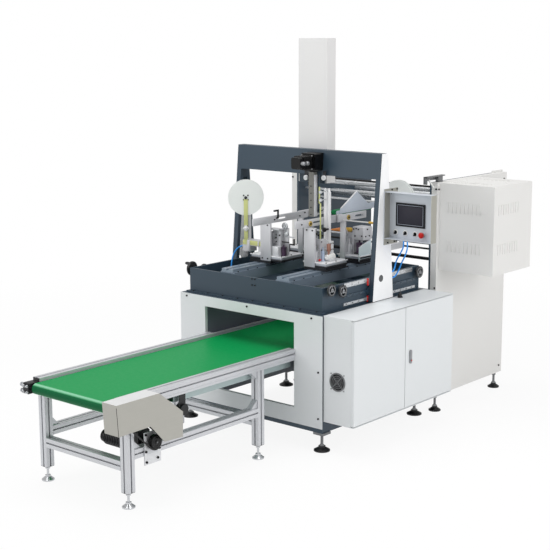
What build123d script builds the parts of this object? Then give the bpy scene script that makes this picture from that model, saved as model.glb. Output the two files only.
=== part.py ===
"""Box making machine: a base with a tape-head table, a gantry, a rear feed and an output conveyor.

Millimetres, +Z up, +Y from the conveyor end towards the feed end, +X towards the electrical cabinet.
Lengths below are measured from the left front corner of the base; the finished pieces are shifted so that
the origin lies on the floor under the left front levelling foot.
"""
from build123d import *
import os
from math import asin, atan2, cos, pi, radians, sin, tan

os.makedirs("parts", exist_ok=True)

# General clearances
seat_gap = 0.3
fit_gap = 0.5
slide_gap = 5.0

# Base
base_width = 1300.0
base_depth = 1175.0
base_bottom = 162.0
base_top = 928.0
panel_sheet = 2.5
panel_fold = 25.0
frame_tube = 60.0
frame_drop = 30.0
wall_sheet = 3.0
tunnel_bottom = 270.0
tunnel_top = 858.0
deck_thick = 20.0
foot_inset_x = 37.0
foot_inset_y = 45.0
foot_plate_size = 84.0
foot_plate_thick = 16.0

# Electrical side cabinet
cabinet_depth = 249.0
fan_offset = 117.0
fan_z = 505.0
fan_radius = 63.0
cabinet_front = 13.0
cabinet_rear = base_depth - 2.0
cabinet_bottom = 215.0
cabinet_top = 933.0
cabinet_sheet = 4.0
door_thick = 22.0
door_gap = 5.0
door_seam = 590.0

# Tray
tray_margin = 45.0
tray_front = 55.0
tray_rear = base_depth - 5.0
tray_plate = 15.0
tray_top = 1101.0
tray_flange = 20.0
tray_flange_thick = 10.0
rail_heights = (957.0, 1011.0)
rail_depth = 8.0
side_rail_front = 276.0
side_rail_rear = 1110.0

# Slide beams and tape heads
beam_offset = 254.0
beam_width = 130.0
beam_bottom = 1040.0
beam_top = 1130.0
head_plate_width = 200.0
head_plate_length = 250.0
head_plate_thick = 18.0
head_front_start = 415.0
head_rear_start = 800.0
front_post_width = 95.0
rear_post_width = 45.0
head_post_sheet = 14.0
head_post_depth = 34.0
head_post_top = 1420.0
arm_height = 52.0
arm_thick = 14.0
arm_front_start = 235.0
arm_front_length = 600.0
arm_rear_start = 762.0
arm_rear_length = 333.0
press_start = 60.0
press_height = 190.0
press_width = 94.0
press_depth = 110.0
guide_y = 616.0
guide_low = 1307.0
guide_top = 1680.0
guide_bar_width = 25.0
guide_bar_thick = 8.0

# Tape reel
reel_diameter = 260.0
reel_x = 180.0
reel_y = 510.0
reel_z = 1573.0
reel_turn = 38.0
reel_width = 30.0
reel_flange = 3.0
reel_hub = 70.0
reel_pin = 9.0
rear_reel_x = 1120.0
rear_reel_y = 1100.0
rear_reel_z = 1583.0
stand_arm_low = 1222.0
stand_arm_top = 1262.0
stand_bar_width = 20.0

# Gantry
gantry_clear = 7.0
leg_width = 39.0
cover_sheet = 3.0
leg_bottom = 938.0
leg_top = 1941.0
leg_bottom_front = 545.0
leg_bottom_rear = 778.0
leg_top_front = 636.0
leg_top_rear = 700.0
beam_low = 1767.0
tower_width = 256.0
tower_depth = 97.0
tower_low = 1700.0
tower_top = 2711.0

# Ram and servo motor
ram_x = 742.0
ram_width = 48.0
ram_depth = 40.0
ram_front = 570.0
ram_bottom = 1474.0
ram_length = 316.0
ram_guide_low = 1500.0
servo_z = 1862.0
servo_width = 88.0
servo_front = 400.0
gearbox_width = 122.0
gearbox_length = 80.0

# Control box
control_width = 380.0
control_height = 321.0
control_depth = 65.0
control_y = 656.0
control_z = 1364.0
control_wall = 3.0
control_back_depth = 46.0
bracket_sheet = 4.0
bezel_width = 234.0
bezel_height = 160.0
bezel_left = 60.0
bezel_bottom = 88.0
button_first = 54.0
button_pitch = 80.0
button_height = 43.0
button_diameter = 26.0
stop_left = 277.0
stop_height = 43.0
stop_diameter = 41.0

# Rear feed section
rear_front = base_depth + 75.0
rear_depth = 957.0
rear_bottom = 119.0
rear_top = 1696.0
ear_top = 1712.0
ear_depth = 142.0
ear_thick = 12.0
rear_wall = 50.0
rear_plate = 15.7
feed_x = 745.0
feed_width = 40.0
feed_length = 440.0
feed_height = 34.0
feed_z = 1480.0
feed_rear_gap = 13.0
roller_bars = ((50.0, 1634.0, 17.0), (90.0, 1562.0, 9.0), (150.0, 1492.0, 9.0), (70.0, 1238.0, 9.0),
               (450.0, 1500.0, 25.0), (750.0, 1500.0, 25.0))
dark_bars = ((12.0, 1663.0, 7.0), (12.0, 1211.0, 7.0), (50.0, 1130.0, 12.0))

# Vented box on the right rear wall
vent_width = 450.0
vent_front = 1277.0
vent_back = 1796.0
vent_bottom = 1066.0
vent_top = 1693.0
vent_louvres = 9

# Output conveyor
belt_width = 650.0
conveyor_shift = 22.0
profile = 60.0
rail_height = 75.0
rail_top = 675.0
conveyor_front = -1560.0
conveyor_rear = -seat_gap
leg_front_y = -1499.0
leg_mid_y = -347.0
leg_low = 95.0
belt_thick = 4.0
belt_top = 655.0
belt_front = -1632.0
belt_rear = base_depth - 145.0
roller_diameter = 62.0
journal_radius = 10.0
pan_front = -1085.0
pan_rear = 20.0
pan_bottom = 540.0

# Conveyor drive
motor_y = -1335.0
motor_z = 376.0
motor_diameter = 92.0
motor_body_z = 326.0
snub_y = -1040.0
snub_z = 494.0
gusset_size = 55.0
low_cross_z = 255.0
low_side_z = 322.0
gusset_thick = 40.0
pulley_x = 1092.0
pulley_width = 24.0
motor_pulley_radius = 44.0
roller_pulley = 38.0
v_belt_thick = 7.0
guard_sheet = 3.0
guard_inner = 1030.0
guard_outer = 1150.0
guard_front = -1673.0
guard_top = 680.0
bearing_front = -1645.0

# Air tubes
tube_diameter = 10.0
gland_radius = 9.0

# Levelling feet
foot_pad = 110.0
rear_pad = 90.0
rear_foot_front = 55.0
rear_foot_back = 68.0
conveyor_pad = 80.0

# Handwheels
wheel_diameter = 84.0
crank_diameter = 104.0
wheel_reach = 38.0
wheel_front = (110.0, 1084.0)
wheel_second = (233.0, 1059.0)
wheel_rear = (base_depth - 44.0, 1061.0)

centre_x = base_width / 2
cabinet_face = base_width + cabinet_depth
tray_left = tray_margin
tray_right = base_width - tray_margin
leg_outer = base_width + gantry_clear
leg_inner = leg_outer - cover_sheet - seat_gap - leg_width
conveyor_centre = centre_x + conveyor_shift
rail_right = conveyor_centre + belt_width / 2 + 43
rail_left = conveyor_centre - belt_width / 2 - 43
rail_low = rail_top - rail_height
tunnel_side = rail_left - 65
head_right = centre_x - beam_offset + head_plate_width / 2
head_floor = beam_top + fit_gap + head_plate_thick + seat_gap
ram_back = ram_front + ram_depth
rear_back = rear_front + rear_depth
plate_left = rear_wall + seat_gap + rear_plate
plate_right = base_width - seat_gap - rear_plate
control_x = leg_outer + 2 * seat_gap + bracket_sheet
panel_y = control_y + control_depth
rear_centre = centre_x + rear_wall / 2
fan_x = base_width + fan_offset


# Routes of the air tubes: on the left head, and two from the control box to the right leg
head_tube = [(141, 517, 1212), (114, 505, 1204), (94, 488, 1178), (86, 471, 1146), (85, 456, 1110),
             (92, 441, 1070), (99, 430, 1028), (100, 428, 978), (100, 428, base_top + seat_gap)]
front_tube = [(1414, 745, 1375), (1414, 745, 1338), (1400, 764, 1300), (1364, 792, 1262), (1326, 822, 1228),
              (1290, 844, 1192), (1277, 846, 1156), (1280, 830, 1124), (1284, 802, 1108), (1284, 768, 1108)]
rear_tube = [(1444, 745, 1375), (1444, 745, 1338), (1434, 764, 1300), (1404, 792, 1256), (1366, 822, 1212),
             (1328, 844, 1168), (1304, 856, 1126), (1290, 846, 1088), (1286, 820, 1068), (1286, 786, 1068)]


def block(x0, x1, y0, y1, z0, z1):
    """A block between two values along each axis."""
    return Pos((x0 + x1) / 2, (y0 + y1) / 2, (z0 + z1) / 2) * Box(x1 - x0, y1 - y0, z1 - z0)


def rod(start, end, radius):
    """A round bar from one point to another."""
    a, b = Vector(*start), Vector(*end)
    plane = Plane(origin=a, z_dir=b - a)
    return extrude(plane * Circle(radius), (b - a).length)


def side_plate(points, x0, x1):
    """A plate with an outline in Y and Z, from x0 to x1."""
    outline = make_face(Polyline(*[(0, y, z) for y, z in points], close=True))
    return Pos(x0, 0, 0) * extrude(outline, x1 - x0, dir=(1, 0, 0))


def group(*shapes):
    """Separate solids kept as one node."""
    return Compound([solid for shape in shapes for solid in shape.solids()])


def mirrored(shape):
    """The same piece on the other side of the machine's middle plane."""
    return mirror(shape, about=Plane.YZ.offset(centre_x))


def slot_profile(size):
    """Section of slotted aluminium extrusion: a square with a T-slot on each side."""
    mouth, neck, throat, depth = 10.0, 5.0, 20.0, 12.0
    section = RectangleRounded(size, size, 2)
    for turn in range(4):
        slot = Pos(0, size / 2 - neck / 2) * Rectangle(mouth, neck + 0.02)
        slot += Pos(0, size / 2 - neck - (depth - neck) / 2) * Rectangle(throat, depth - neck)
        section -= Rot(0, 0, 90 * turn) * slot
    return section


def slotted_post(x, y, z0, z1):
    """Upright of slotted extrusion."""
    return Pos(x, y, z0) * extrude(slot_profile(profile), z1 - z0)


def slotted_along_x(x0, x1, y, z):
    """Cross bar of slotted extrusion."""
    return extrude(Plane(origin=(x0, y, z), x_dir=(0, 1, 0), z_dir=(1, 0, 0)) * slot_profile(profile), x1 - x0)


def slotted_along_y(x, y0, y1, z):
    """Side bar of slotted extrusion."""
    return extrude(Plane(origin=(x, y0, z), x_dir=(-1, 0, 0), z_dir=(0, 1, 0)) * slot_profile(profile), y1 - y0)


def levelling_foot(x, y, pad, top, spindle):
    """Turned foot with a sloped pad, a spindle and a lock nut, standing on the floor."""
    points = [(0, 0), (pad / 2, 0), (pad / 2, 8), (pad * 0.22, 26), (pad * 0.22, 34), (spindle, 34),
              (spindle, top), (0, top)]
    turned = revolve(make_face(Polyline(*[(r, 0, z) for r, z in points], close=True)), Axis.Z)
    nut = extrude(Plane.XY.offset(top - 20) * RegularPolygon(spindle * 1.9, 6), 12)
    return Pos(x, y, 0) * (turned + nut)


# Base

def base_ring(z0, z1, side, end):
    """Two bars along the sides of the base and two across between them."""
    edge = panel_sheet + seat_gap
    x0, x1, y0, y1 = edge, base_width - edge, edge, base_depth - edge
    inset = side + seat_gap
    bars = [block(x0, x0 + side, y0, y1, z0, z1), block(x1 - side, x1, y0, y1, z0, z1)]
    bars.append(block(x0 + inset, x1 - inset, y0, y0 + end, z0, z1))
    bars.append(block(x0 + inset, x1 - inset, y1 - end, y1, z0, z1))
    return bars


def tunnel_walls(z0, z1):
    """Dark walls on both sides of the conveyor tunnel."""
    y0 = panel_fold + seat_gap
    y1 = base_depth - panel_sheet - 2 * seat_gap
    wall = block(tunnel_side, tunnel_side + wall_sheet, y0, y1, z0, z1)
    return [wall, mirrored(wall)]


def base_frame():
    """Tube frame of the base: a bottom ring, corner posts, a deck of four plates and the tunnel walls."""
    edge = panel_sheet + seat_gap
    ring_low = base_bottom - frame_drop
    post_low = ring_low + frame_tube + seat_gap
    post_high = base_top - deck_thick - seat_gap
    posts = []
    for x in (edge, base_width - edge - frame_tube):
        for y in (edge, base_depth - edge - frame_tube):
            posts.append(block(x, x + frame_tube, y, y + frame_tube, post_low, post_high))
    ring = base_ring(ring_low, ring_low + frame_tube, frame_tube, frame_tube)
    deck = base_ring(base_top - deck_thick, base_top, tunnel_side + panel_fold - edge, 2 * frame_tube - edge)
    return group(*ring, *posts, *deck, *tunnel_walls(post_low, post_high))


def front_panel():
    """White front sheet with the tunnel opening and its folded edge."""
    sheet = block(0, base_width, 0, panel_sheet, base_bottom, base_top)
    fold = block(tunnel_side, base_width - tunnel_side, 0, panel_fold, tunnel_bottom, tunnel_top)
    inner = block(tunnel_side + panel_sheet, base_width - tunnel_side - panel_sheet, -1, panel_fold + 1,
                  tunnel_bottom + panel_sheet, tunnel_top - panel_sheet)
    return sheet + fold - inner


def base_panels():
    """White front, left and rear sheets."""
    gap = panel_sheet + seat_gap
    left = block(0, panel_sheet, gap, base_depth - gap, base_bottom, base_top)
    rear = block(0, base_width, base_depth - panel_sheet, base_depth, base_bottom, base_top)
    return group(front_panel(), left, rear)


def base_foot(x, y):
    """Foot of the base with its square plate under the frame."""
    top = base_bottom - frame_drop - seat_gap
    half = foot_plate_size / 2
    plate = block(x - half, x + half, y - half, y + half, top - foot_plate_thick, top)
    return levelling_foot(x, y, foot_pad, top, 10) + plate


def levelling_feet():
    """Feet under the corners of the base and of the rear section."""
    feet = []
    for x in (foot_inset_x, base_width - foot_inset_x):
        for y in (foot_inset_y, base_depth - foot_inset_y):
            feet.append(base_foot(x, y))
    for x in (rear_wall / 2, base_width + rear_wall / 2):
        for y in (rear_front + rear_foot_front, rear_back - rear_foot_back):
            feet.append(levelling_foot(x, y, rear_pad, rear_bottom - seat_gap, 9))
    return group(*feet)


# Electrical side cabinet

def cabinet_shell():
    """Open sheet cabinet on the right side of the base, with a lip above and below the doors."""
    x0 = base_width + seat_gap
    back = cabinet_face - door_thick - fit_gap
    shell = block(x0, back, cabinet_front, cabinet_rear, cabinet_bottom, cabinet_top)
    t = cabinet_sheet
    shell -= block(x0 + t, back + 1, cabinet_front + t, cabinet_rear - t, cabinet_bottom + t, cabinet_top - t)
    lip_low = block(x0, cabinet_face, cabinet_front, cabinet_rear, cabinet_bottom, cabinet_bottom + t)
    lip_high = block(x0, cabinet_face, cabinet_front, cabinet_rear, cabinet_top - t, cabinet_top)
    fan_hole = rod((fan_x, cabinet_front - 1, fan_z), (fan_x, cabinet_front + t + 1, fan_z), fan_radius - 7)
    return shell + lip_low + lip_high - fan_hole


def door_leaf(y0, y1):
    """Cabinet door pressed as a shallow pan."""
    z0 = cabinet_bottom + cabinet_sheet + door_gap
    z1 = cabinet_top - cabinet_sheet - door_gap
    x0 = cabinet_face - door_thick
    leaf = block(x0, cabinet_face, y0, y1, z0, z1)
    leaf -= block(x0 - 1, cabinet_face - 2, y0 + 20, y1 - 20, z0 + 20, z1 - 20)
    return leaf


def door_lock():
    """Swing-handle lock on the rear leaf."""
    y, z = door_seam + 57, 575.0
    body = Pos(cabinet_face + seat_gap, y, z) * extrude(Plane.YZ * SlotOverall(95, 22, rotation=90), 10)
    button = Pos(cabinet_face + seat_gap + 10, y, z - 25) * extrude(Plane.YZ * Circle(7), 4)
    return body + button


def fan_grille():
    """Round fan guard of wire rings on the front side of the cabinet."""
    rings = Circle(fan_radius) - Circle(fan_radius - 9)
    for radius in (44, 31, 18):
        rings += Circle(radius) - Circle(radius - 4)
    for turn in (45, 135):
        rings += Rot(0, 0, turn) * Rectangle(2 * fan_radius - 6, 5)
    front = Plane(origin=(fan_x, cabinet_front - seat_gap, fan_z), x_dir=(1, 0, 0), z_dir=(0, -1, 0))
    return extrude(front * rings, 5)


# Tray

def tray_plates():
    """Front, rear and side plates of the tray, with a flange along the front."""
    z0 = base_top + seat_gap
    front = block(tray_left, tray_right, tray_front, tray_front + tray_plate, z0, tray_top)
    front += block(tray_left - tray_flange, tray_right + tray_flange, tray_front - tray_flange,
                   tray_front + tray_plate, z0, z0 + tray_flange_thick)
    rear = block(tray_left, tray_right, tray_rear - tray_plate, tray_rear, z0, tray_top)
    side = block(tray_left, tray_left + tray_plate, tray_front + tray_plate + seat_gap,
                 tray_rear - tray_plate - seat_gap, z0, tray_top)
    return group(front, rear, side, mirrored(side))


def side_rails():
    """Two linear rails with screw holes on the outside of each tray side."""
    rails = []
    for z in rail_heights:
        bar = block(tray_right + seat_gap, tray_right + rail_depth, side_rail_front, side_rail_rear, z - 9, z + 9)
        for step in range(12):
            bar -= Pos(tray_right + 4, side_rail_front + 30 + step * 70, z) * Rot(0, 90, 0) * Cylinder(4, 12)
        rails += [bar, mirrored(bar)]
    return group(*rails)


def slide_beam():
    """Left slide beam: a box section with a wider top rail, along the tray."""
    x = centre_x - beam_offset
    half = beam_width / 2
    y0 = tray_front + tray_plate + seat_gap
    y1 = tray_rear - tray_plate - seat_gap
    shoulder, top = beam_top - 22, half - 12
    section = [(x - half, beam_bottom), (x + half, beam_bottom), (x + half, shoulder), (x + top, shoulder),
               (x + top, beam_top), (x - top, beam_top), (x - top, shoulder), (x - half, shoulder)]
    outline = make_face(Polyline(*[(a, 0, z) for a, z in section], close=True))
    bar = Pos(0, y0, 0) * extrude(outline, y1 - y0, dir=(0, 1, 0))
    groove = block(x - 10, x + 10, y0 - 1, y1 + 1, beam_top - 10, beam_top + 1)
    return bar - groove


def slide_beams():
    """Both slide beams and the two cross rails that carry them."""
    y_end = tray_rear - tray_plate - seat_gap
    beam = slide_beam()
    bars = []
    for y in (tray_front + 120, y_end - 145):
        bars.append(block(tray_left + tray_plate + seat_gap, tray_right - tray_plate - seat_gap, y, y + 40,
                          beam_bottom - 40, beam_bottom - seat_gap))
    return group(beam, mirrored(beam), *bars)


# Tape heads, drawn on the left and mirrored to the right

def head_carriage(start):
    """Carriage of a head on its slide beam: a wide plate with a smaller one on top."""
    x0 = head_right - head_plate_width
    z0 = beam_top + fit_gap
    middle = z0 + head_plate_thick / 2
    lower = block(x0, head_right, start, start + head_plate_length, z0, middle)
    return lower + block(x0 + 6, head_right - 6, start, start + head_plate_length - 20, middle, z0 + head_plate_thick)


def press_wheel(x, y, z, radius):
    """Guide wheel on the front of a press, turned with a groove."""
    wheel = rod((x, y - 14, z), (x, y, z), radius) - rod((x, y - 15, z), (x, y - 11, z), radius - 7)
    return wheel + rod((x, y - 18, z), (x, y, z), 7)


def head_press(start):
    """Tape press of a head: a front plate with wheels, two cheeks, a pressing roller and an air cylinder."""
    x1, z0 = head_right - 4, head_floor
    x0 = x1 - press_width
    y0 = start + press_start
    front = block(x0, x1, y0, y0 + 8, z0, z0 + press_height)
    front -= block(x0 + 16, x0 + 46, y0 - 1, y0 + 9, z0 + 60, z0 + 150)
    outline = [(8, 0), (press_depth, 0), (press_depth, 70), (80, 170), (50, press_height), (8, press_height)]
    cheek = side_plate([(y0 + y, z0 + z) for y, z in outline], x0, x0 + 10)
    cheek -= rod((x0 - 1, y0 + 55, z0 + 95), (x0 + 11, y0 + 55, z0 + 95), 18)
    press = front + cheek + Pos(press_width - 10, 0, 0) * cheek
    press += rod((x0 + 5, y0 + 45, z0 + 160), (x1 - 5, y0 + 45, z0 + 160), 16)
    press += press_wheel(head_right - 22, y0, z0 + 185, 26) + press_wheel(head_right - 14, y0, z0 + 140, 17)
    cylinder = rod((x0 + 24, start + 36, z0), (x0 + 24, start + 36, z0 + 105), 15)
    cylinder += rod((x0 + 24, start + 36, z0 + 105), (x0 + 24, start + 36, z0 + 150), 5)
    return group(press, cylinder)


def head_horn(x1, start, width, arm_start, length):
    """Upright of a head with a rib behind it, and its slotted horn arm on top."""
    rib = x1 - width / 2
    post = block(x1 - width, x1, start, start + head_post_sheet, head_floor, head_post_top)
    post += block(rib - 7, rib + 7, start + head_post_sheet, start + head_post_depth, head_floor, head_post_top)
    arm = block(x1 - arm_thick, x1, arm_start, arm_start + length, head_post_top, head_post_top + arm_height)
    slot = Pos(arm_start + length / 2, head_post_top + arm_height / 2) * SlotOverall(length * 0.8, 14)
    return post + arm - extrude(Plane.YZ.offset(x1 - arm_thick - 1) * slot, arm_thick + 2)


def front_horn():
    """Horn of a front head, flush with its carriage."""
    return head_horn(head_right, head_front_start, front_post_width, arm_front_start, arm_front_length)


def rear_horn():
    """Horn of a rear head, beside the front head's arm."""
    x1 = head_right - arm_thick - slide_gap
    return head_horn(x1, head_rear_start, rear_post_width, arm_rear_start, arm_rear_length)


def tape_guides():
    """Two pointed guide bars on a block of the right front head."""
    x0 = base_width - head_right + 11
    pieces = block(x0, x0 + 75, guide_y - 16, guide_y + 24, head_floor, guide_low)
    for left in (x0 + 9, x0 + 41):
        right = left + guide_bar_width
        bar = [(left, guide_low), (right, guide_low), (right, guide_top - 30), (left + 10, guide_top),
               (left, guide_top - 14)]
        outline = make_face(Polyline(*[(x, 0, z) for x, z in bar], close=True))
        pieces += Pos(0, guide_y - guide_bar_thick / 2, 0) * extrude(outline, guide_bar_thick, dir=(0, 1, 0))
    return pieces


def head_pair(shape):
    """A left piece and its mirrored twin."""
    return group(shape, mirrored(shape))


# Tape reel and its stand

def reel_plane():
    """Plane across the front reel, facing the front right corner of the machine."""
    turn = radians(reel_turn)
    return Plane(origin=(reel_x, reel_y, reel_z), x_dir=(cos(turn), sin(turn), 0), z_dir=(sin(turn), -cos(turn), 0))


def rear_reel_plane():
    """Plane across the rear reel, facing the conveyor end."""
    return Plane(origin=(rear_reel_x, rear_reel_y, rear_reel_z), x_dir=(1, 0, 0), z_dir=(0, -1, 0))


def tape_reel(face):
    """Two thin flanges on a hub, with the rolled tape between them."""
    half = reel_width / 2
    reel = extrude(face.offset(half - reel_flange) * Circle(reel_diameter / 2), reel_flange)
    reel += extrude(face.offset(-half) * Circle(reel_diameter / 2), reel_flange)
    reel += extrude(face.offset(-half) * Circle(reel_hub), reel_width)
    return reel - extrude(face.offset(-half - 1) * Circle(reel_pin + fit_gap), reel_width + 2)


def reel_post(face, shift_x):
    """Slim upright behind a reel, with a head plate and the reel's pin."""
    back = face.offset(-reel_width / 2 - 14)
    height = reel_z - stand_arm_low
    upright = extrude(back * Pos(shift_x, -height / 2) * Rectangle(stand_bar_width, height), 10)
    upright += extrude(back * Pos(shift_x / 2, 0) * Rectangle(abs(shift_x) + 24, 36), 10)
    return upright + extrude(back * Circle(reel_pin), reel_width + 20)


def reel_stand():
    """Stand of the front reel: a leg on the left front carriage, an arm with a tube gland, and the upright."""
    x_leg = head_right - head_plate_width + 6
    leg = block(x_leg, x_leg + 30, reel_y - 5, reel_y + 65, head_floor, stand_arm_low)
    arm = block(reel_x - 30, x_leg + 30, reel_y - 5, reel_y + 65, stand_arm_low, stand_arm_top)
    arm += block(reel_x - 30, reel_x + 45, reel_y - 5, reel_y + 65, stand_arm_low - 44, stand_arm_low)
    start, following = Vector(*head_tube[0]), Vector(*head_tube[1])
    gland = rod(start - 14 * (following - start).normalized(), start, gland_radius)
    return leg + arm + gland + reel_post(reel_plane(), 25)


def rear_reel_stand():
    """Stand of the rear reel on the right rear carriage."""
    x_leg = base_width - head_right + head_plate_width - 36
    y0, y1 = head_rear_start + 190, head_rear_start + 230
    leg = block(x_leg, x_leg + 30, y0, y1, head_floor, stand_arm_low)
    arm = block(x_leg, rear_reel_x + 20, y0, y1, stand_arm_low, stand_arm_top)
    arm += block(rear_reel_x - 10, rear_reel_x + 20, y1, rear_reel_y + 40, stand_arm_low, stand_arm_top)
    return leg + arm + reel_post(rear_reel_plane(), 5)


# Gantry

def front_y(z):
    """Y of the slanted front edge of a gantry leg at height z."""
    return leg_bottom_front + (leg_top_front - leg_bottom_front) * (z - leg_bottom) / (leg_top - leg_bottom)


def rear_y(z):
    """Y of the slanted rear edge of a gantry leg at height z."""
    return leg_bottom_rear + (leg_top_rear - leg_bottom_rear) * (z - leg_bottom) / (leg_top - leg_bottom)


def leg_outline(margin=0.0, low=leg_bottom, high=leg_top):
    return [(front_y(low) + margin, low), (rear_y(low) - margin, low), (rear_y(high) - margin, high),
            (front_y(high) + margin, high)]


def gantry_leg():
    """Right leg: a tapered plate box with a long slot through its web."""
    leg = side_plate(leg_outline(), leg_inner, leg_outer - cover_sheet - seat_gap)
    slot = side_plate(leg_outline(32, 1080, 1700), leg_inner - 1, leg_outer)
    return leg - slot


def gantry_cover():
    """Right outer cover, a plain tapered sheet with a round access hole."""
    cover = side_plate(leg_outline(), leg_outer - cover_sheet, leg_outer)
    hole = Pos(leg_outer, front_y(1090) + 75, 1090) * Rot(0, 90, 0) * Cylinder(21, 20)
    return cover - hole


def gantry_beam():
    """Cross beam between the legs, slanted in front like the legs, with the guide plate of the ram."""
    points = [(front_y(beam_low), beam_low), (leg_top_rear, beam_low), (leg_top_rear, leg_top),
              (leg_top_front, leg_top)]
    beam = side_plate(points, base_width - leg_inner + seat_gap, leg_inner - seat_gap)
    y0 = ram_back + fit_gap
    top = ram_bottom + ram_length
    guide_points = [(y0, ram_guide_low), (y0 + 9, ram_guide_low), (y0 + 9, beam_low - 60),
                    (front_y(beam_low) + 1, beam_low), (front_y(top) + 1, top), (y0, top)]
    return beam + side_plate(guide_points, ram_x - 24, ram_x + 40)


def gantry_frame():
    """Both legs and the beam between them, with two tube glands on the rear edge of the right leg."""
    right = gantry_leg()
    for x, y, z in (front_tube[-1], rear_tube[-1]):
        right += rod((x, y, z), (x, rear_y(z) - 2, z), gland_radius)
    return group(right, mirrored(gantry_leg()), gantry_beam())


def runner(y, half, z):
    """Runner around a side rail, from the tray to the inside of a gantry leg."""
    piece = block(tray_right + 2, leg_inner - seat_gap, y - half, y + half, z - 20, z + 20)
    groove = block(tray_right - 1, tray_right + rail_depth + fit_gap, y - half - 1, y + half + 1, z - 9 - fit_gap,
                   z + 9 + fit_gap)
    return piece - groove


def bearing_blocks():
    """Two runner blocks on each leg, each around its rail."""
    blocks = [runner(y, 25, z) for z in rail_heights for y in (leg_bottom_front + 33, leg_bottom_rear - 45)]
    return group(*blocks, *[mirrored(piece) for piece in blocks])


def bearing_caps():
    """Red end caps in front of the front runner blocks."""
    y = leg_bottom_front + 33 - 25 - seat_gap - 9
    caps = [runner(y, 9, z) for z in rail_heights]
    return group(*caps, *[mirrored(piece) for piece in caps])


def tower_cover():
    """Tall white cover of the ram drive, behind the beam."""
    y0 = leg_top_rear + seat_gap
    x0, x1 = centre_x - tower_width / 2, centre_x + tower_width / 2
    return block(x0, x1, y0, y0 + tower_depth, tower_low, tower_top)


def ram_column():
    """Square ram hanging in front of the beam."""
    ram = block(ram_x - ram_width / 2, ram_x + ram_width / 2, ram_back - ram_depth, ram_back, ram_bottom,
                ram_bottom + ram_length)
    return chamfer(ram.edges().filter_by(Axis.Z), 3)


def servo_motor():
    """Servo motor with its square gearbox, seated on a wedge plate in front of the beam."""
    half = gearbox_width / 2
    z0, z1 = servo_z - half, servo_z + half
    y1 = front_y(z0) - 8
    y0 = y1 - gearbox_length
    wedge = side_plate([(y1, z0), (front_y(z0) - seat_gap, z0), (front_y(z1) - seat_gap, z1), (y1, z1)],
                       ram_x - half, ram_x + half)
    gear = block(ram_x - half, ram_x + half, y0, y1, z0, z1)
    gear = chamfer(gear.edges().filter_by(Axis.Y), 8)
    plane = Plane(origin=(ram_x, y0, servo_z), x_dir=(-1, 0, 0), z_dir=(0, -1, 0))
    flange = extrude(plane * RectangleRounded(servo_width + 16, servo_width + 16, 8), 12)
    length = y0 - servo_front
    body = extrude(plane * RectangleRounded(servo_width, servo_width, 10), length - 34)
    cap = extrude(plane.offset(length - 34) * RectangleRounded(servo_width - 8, servo_width - 8, 14), 34)
    return wedge + gear + flange + body + cap


# Air tubes, each a chain of straight runs and tangent arcs

def air_tube(name, points):
    """Round tube along a route; prints the radius of each bend."""
    turns = []
    for a, b, c in zip(points, points[1:], points[2:]):
        before, after = Vector(*b) - Vector(*a), Vector(*c) - Vector(*b)
        shorter = min(before.length, after.length)
        turns.append(round(0.45 * shorter / tan(radians(before.get_angle(after)) / 2), 1))
    print(name, "bend radii", turns)
    route = FilletPolyline(*points, radius=turns)
    section = Plane(origin=route @ 0, z_dir=route % 0) * Circle(tube_diameter / 2)
    tube = sweep(section, path=route)
    print(name, "length", round(route.length, 1), "volume share", round(tube.volume / section.area / route.length, 3))
    return tube


# Control box

def control_box():
    """Panel tray open to the front, a closed box behind it and the plate that carries both on the leg."""
    x0, x1 = control_x, control_x + control_width
    z0, z1 = control_z, control_z + control_height
    t = control_wall
    tray = block(x0, x1, control_y, panel_y, z0, z1)
    tray -= block(x0 + t, x1 - t, control_y - 1, panel_y - t, z0 + t, z1 - t)
    back = block(x0 + 18, x0 + 288, panel_y + seat_gap, panel_y + control_back_depth, z0 + 26, z0 + 296)
    for x, y in (front_tube[0][:2], rear_tube[0][:2]):
        back += rod((x, y, front_tube[0][2]), (x, y, z0 + 27), gland_radius)
    plate_x = leg_outer + seat_gap
    plate = block(plate_x, plate_x + bracket_sheet, control_y, control_y + 159, z0 - 46, z1 + 17)
    return group(tray, back, plate)


def screen_bezel():
    """Bezel of the touch screen."""
    x0, z0 = control_x + bezel_left, control_z + bezel_bottom
    y1 = panel_y - control_wall - seat_gap
    bezel = block(x0, x0 + bezel_width, y1 - 9, y1, z0, z0 + bezel_height)
    return bezel - block(x0 + 16, x0 + bezel_width - 16, y1 - 10, y1 - 7, z0 + 16, z0 + bezel_height - 16)


def selector_buttons():
    """Three selector switches under the screen."""
    knobs = []
    y, z = panel_y - control_wall - seat_gap, control_z + button_height
    for step in range(3):
        x = control_x + button_first + step * button_pitch
        face = Plane(origin=(x, y, z), x_dir=(1, 0, 0), z_dir=(0, -1, 0))
        knob = extrude(face * Circle(button_diameter / 2), 6)
        knob += extrude(face.offset(6) * Rectangle(9, 22), 12)
        knobs.append(knob)
    return group(*knobs)


def stop_button():
    """Mushroom head of the emergency stop."""
    r = stop_diameter / 2
    points = [(0, 0), (12, 0), (12, 14), (r, 20), (r, 26), (r * 0.6, 33), (0, 34)]
    turned = revolve(make_face(Polyline(*[(a, 0, b) for a, b in points], close=True)), Axis.Z)
    place = Pos(control_x + stop_left, panel_y - control_wall - seat_gap, control_z + stop_height)
    return place * Rot(90, 0, 0) * turned


# Rear feed section

def rear_walls():
    """White side housings of the feed section, each with an ear at its rear top corner."""
    wall = block(base_width, base_width + rear_wall, rear_front, rear_back, rear_bottom, rear_top)
    wall += block(base_width, base_width + ear_thick, rear_back - ear_depth, rear_back, rear_top - 20, ear_top)
    hole_y, hole_z = rear_back - 16, rear_top + 4
    wall -= rod((base_width - 1, hole_y, hole_z), (base_width + rear_wall + 1, hole_y, hole_z), 3)
    return group(wall, mirror(wall, about=Plane.YZ.offset(rear_centre)))


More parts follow.
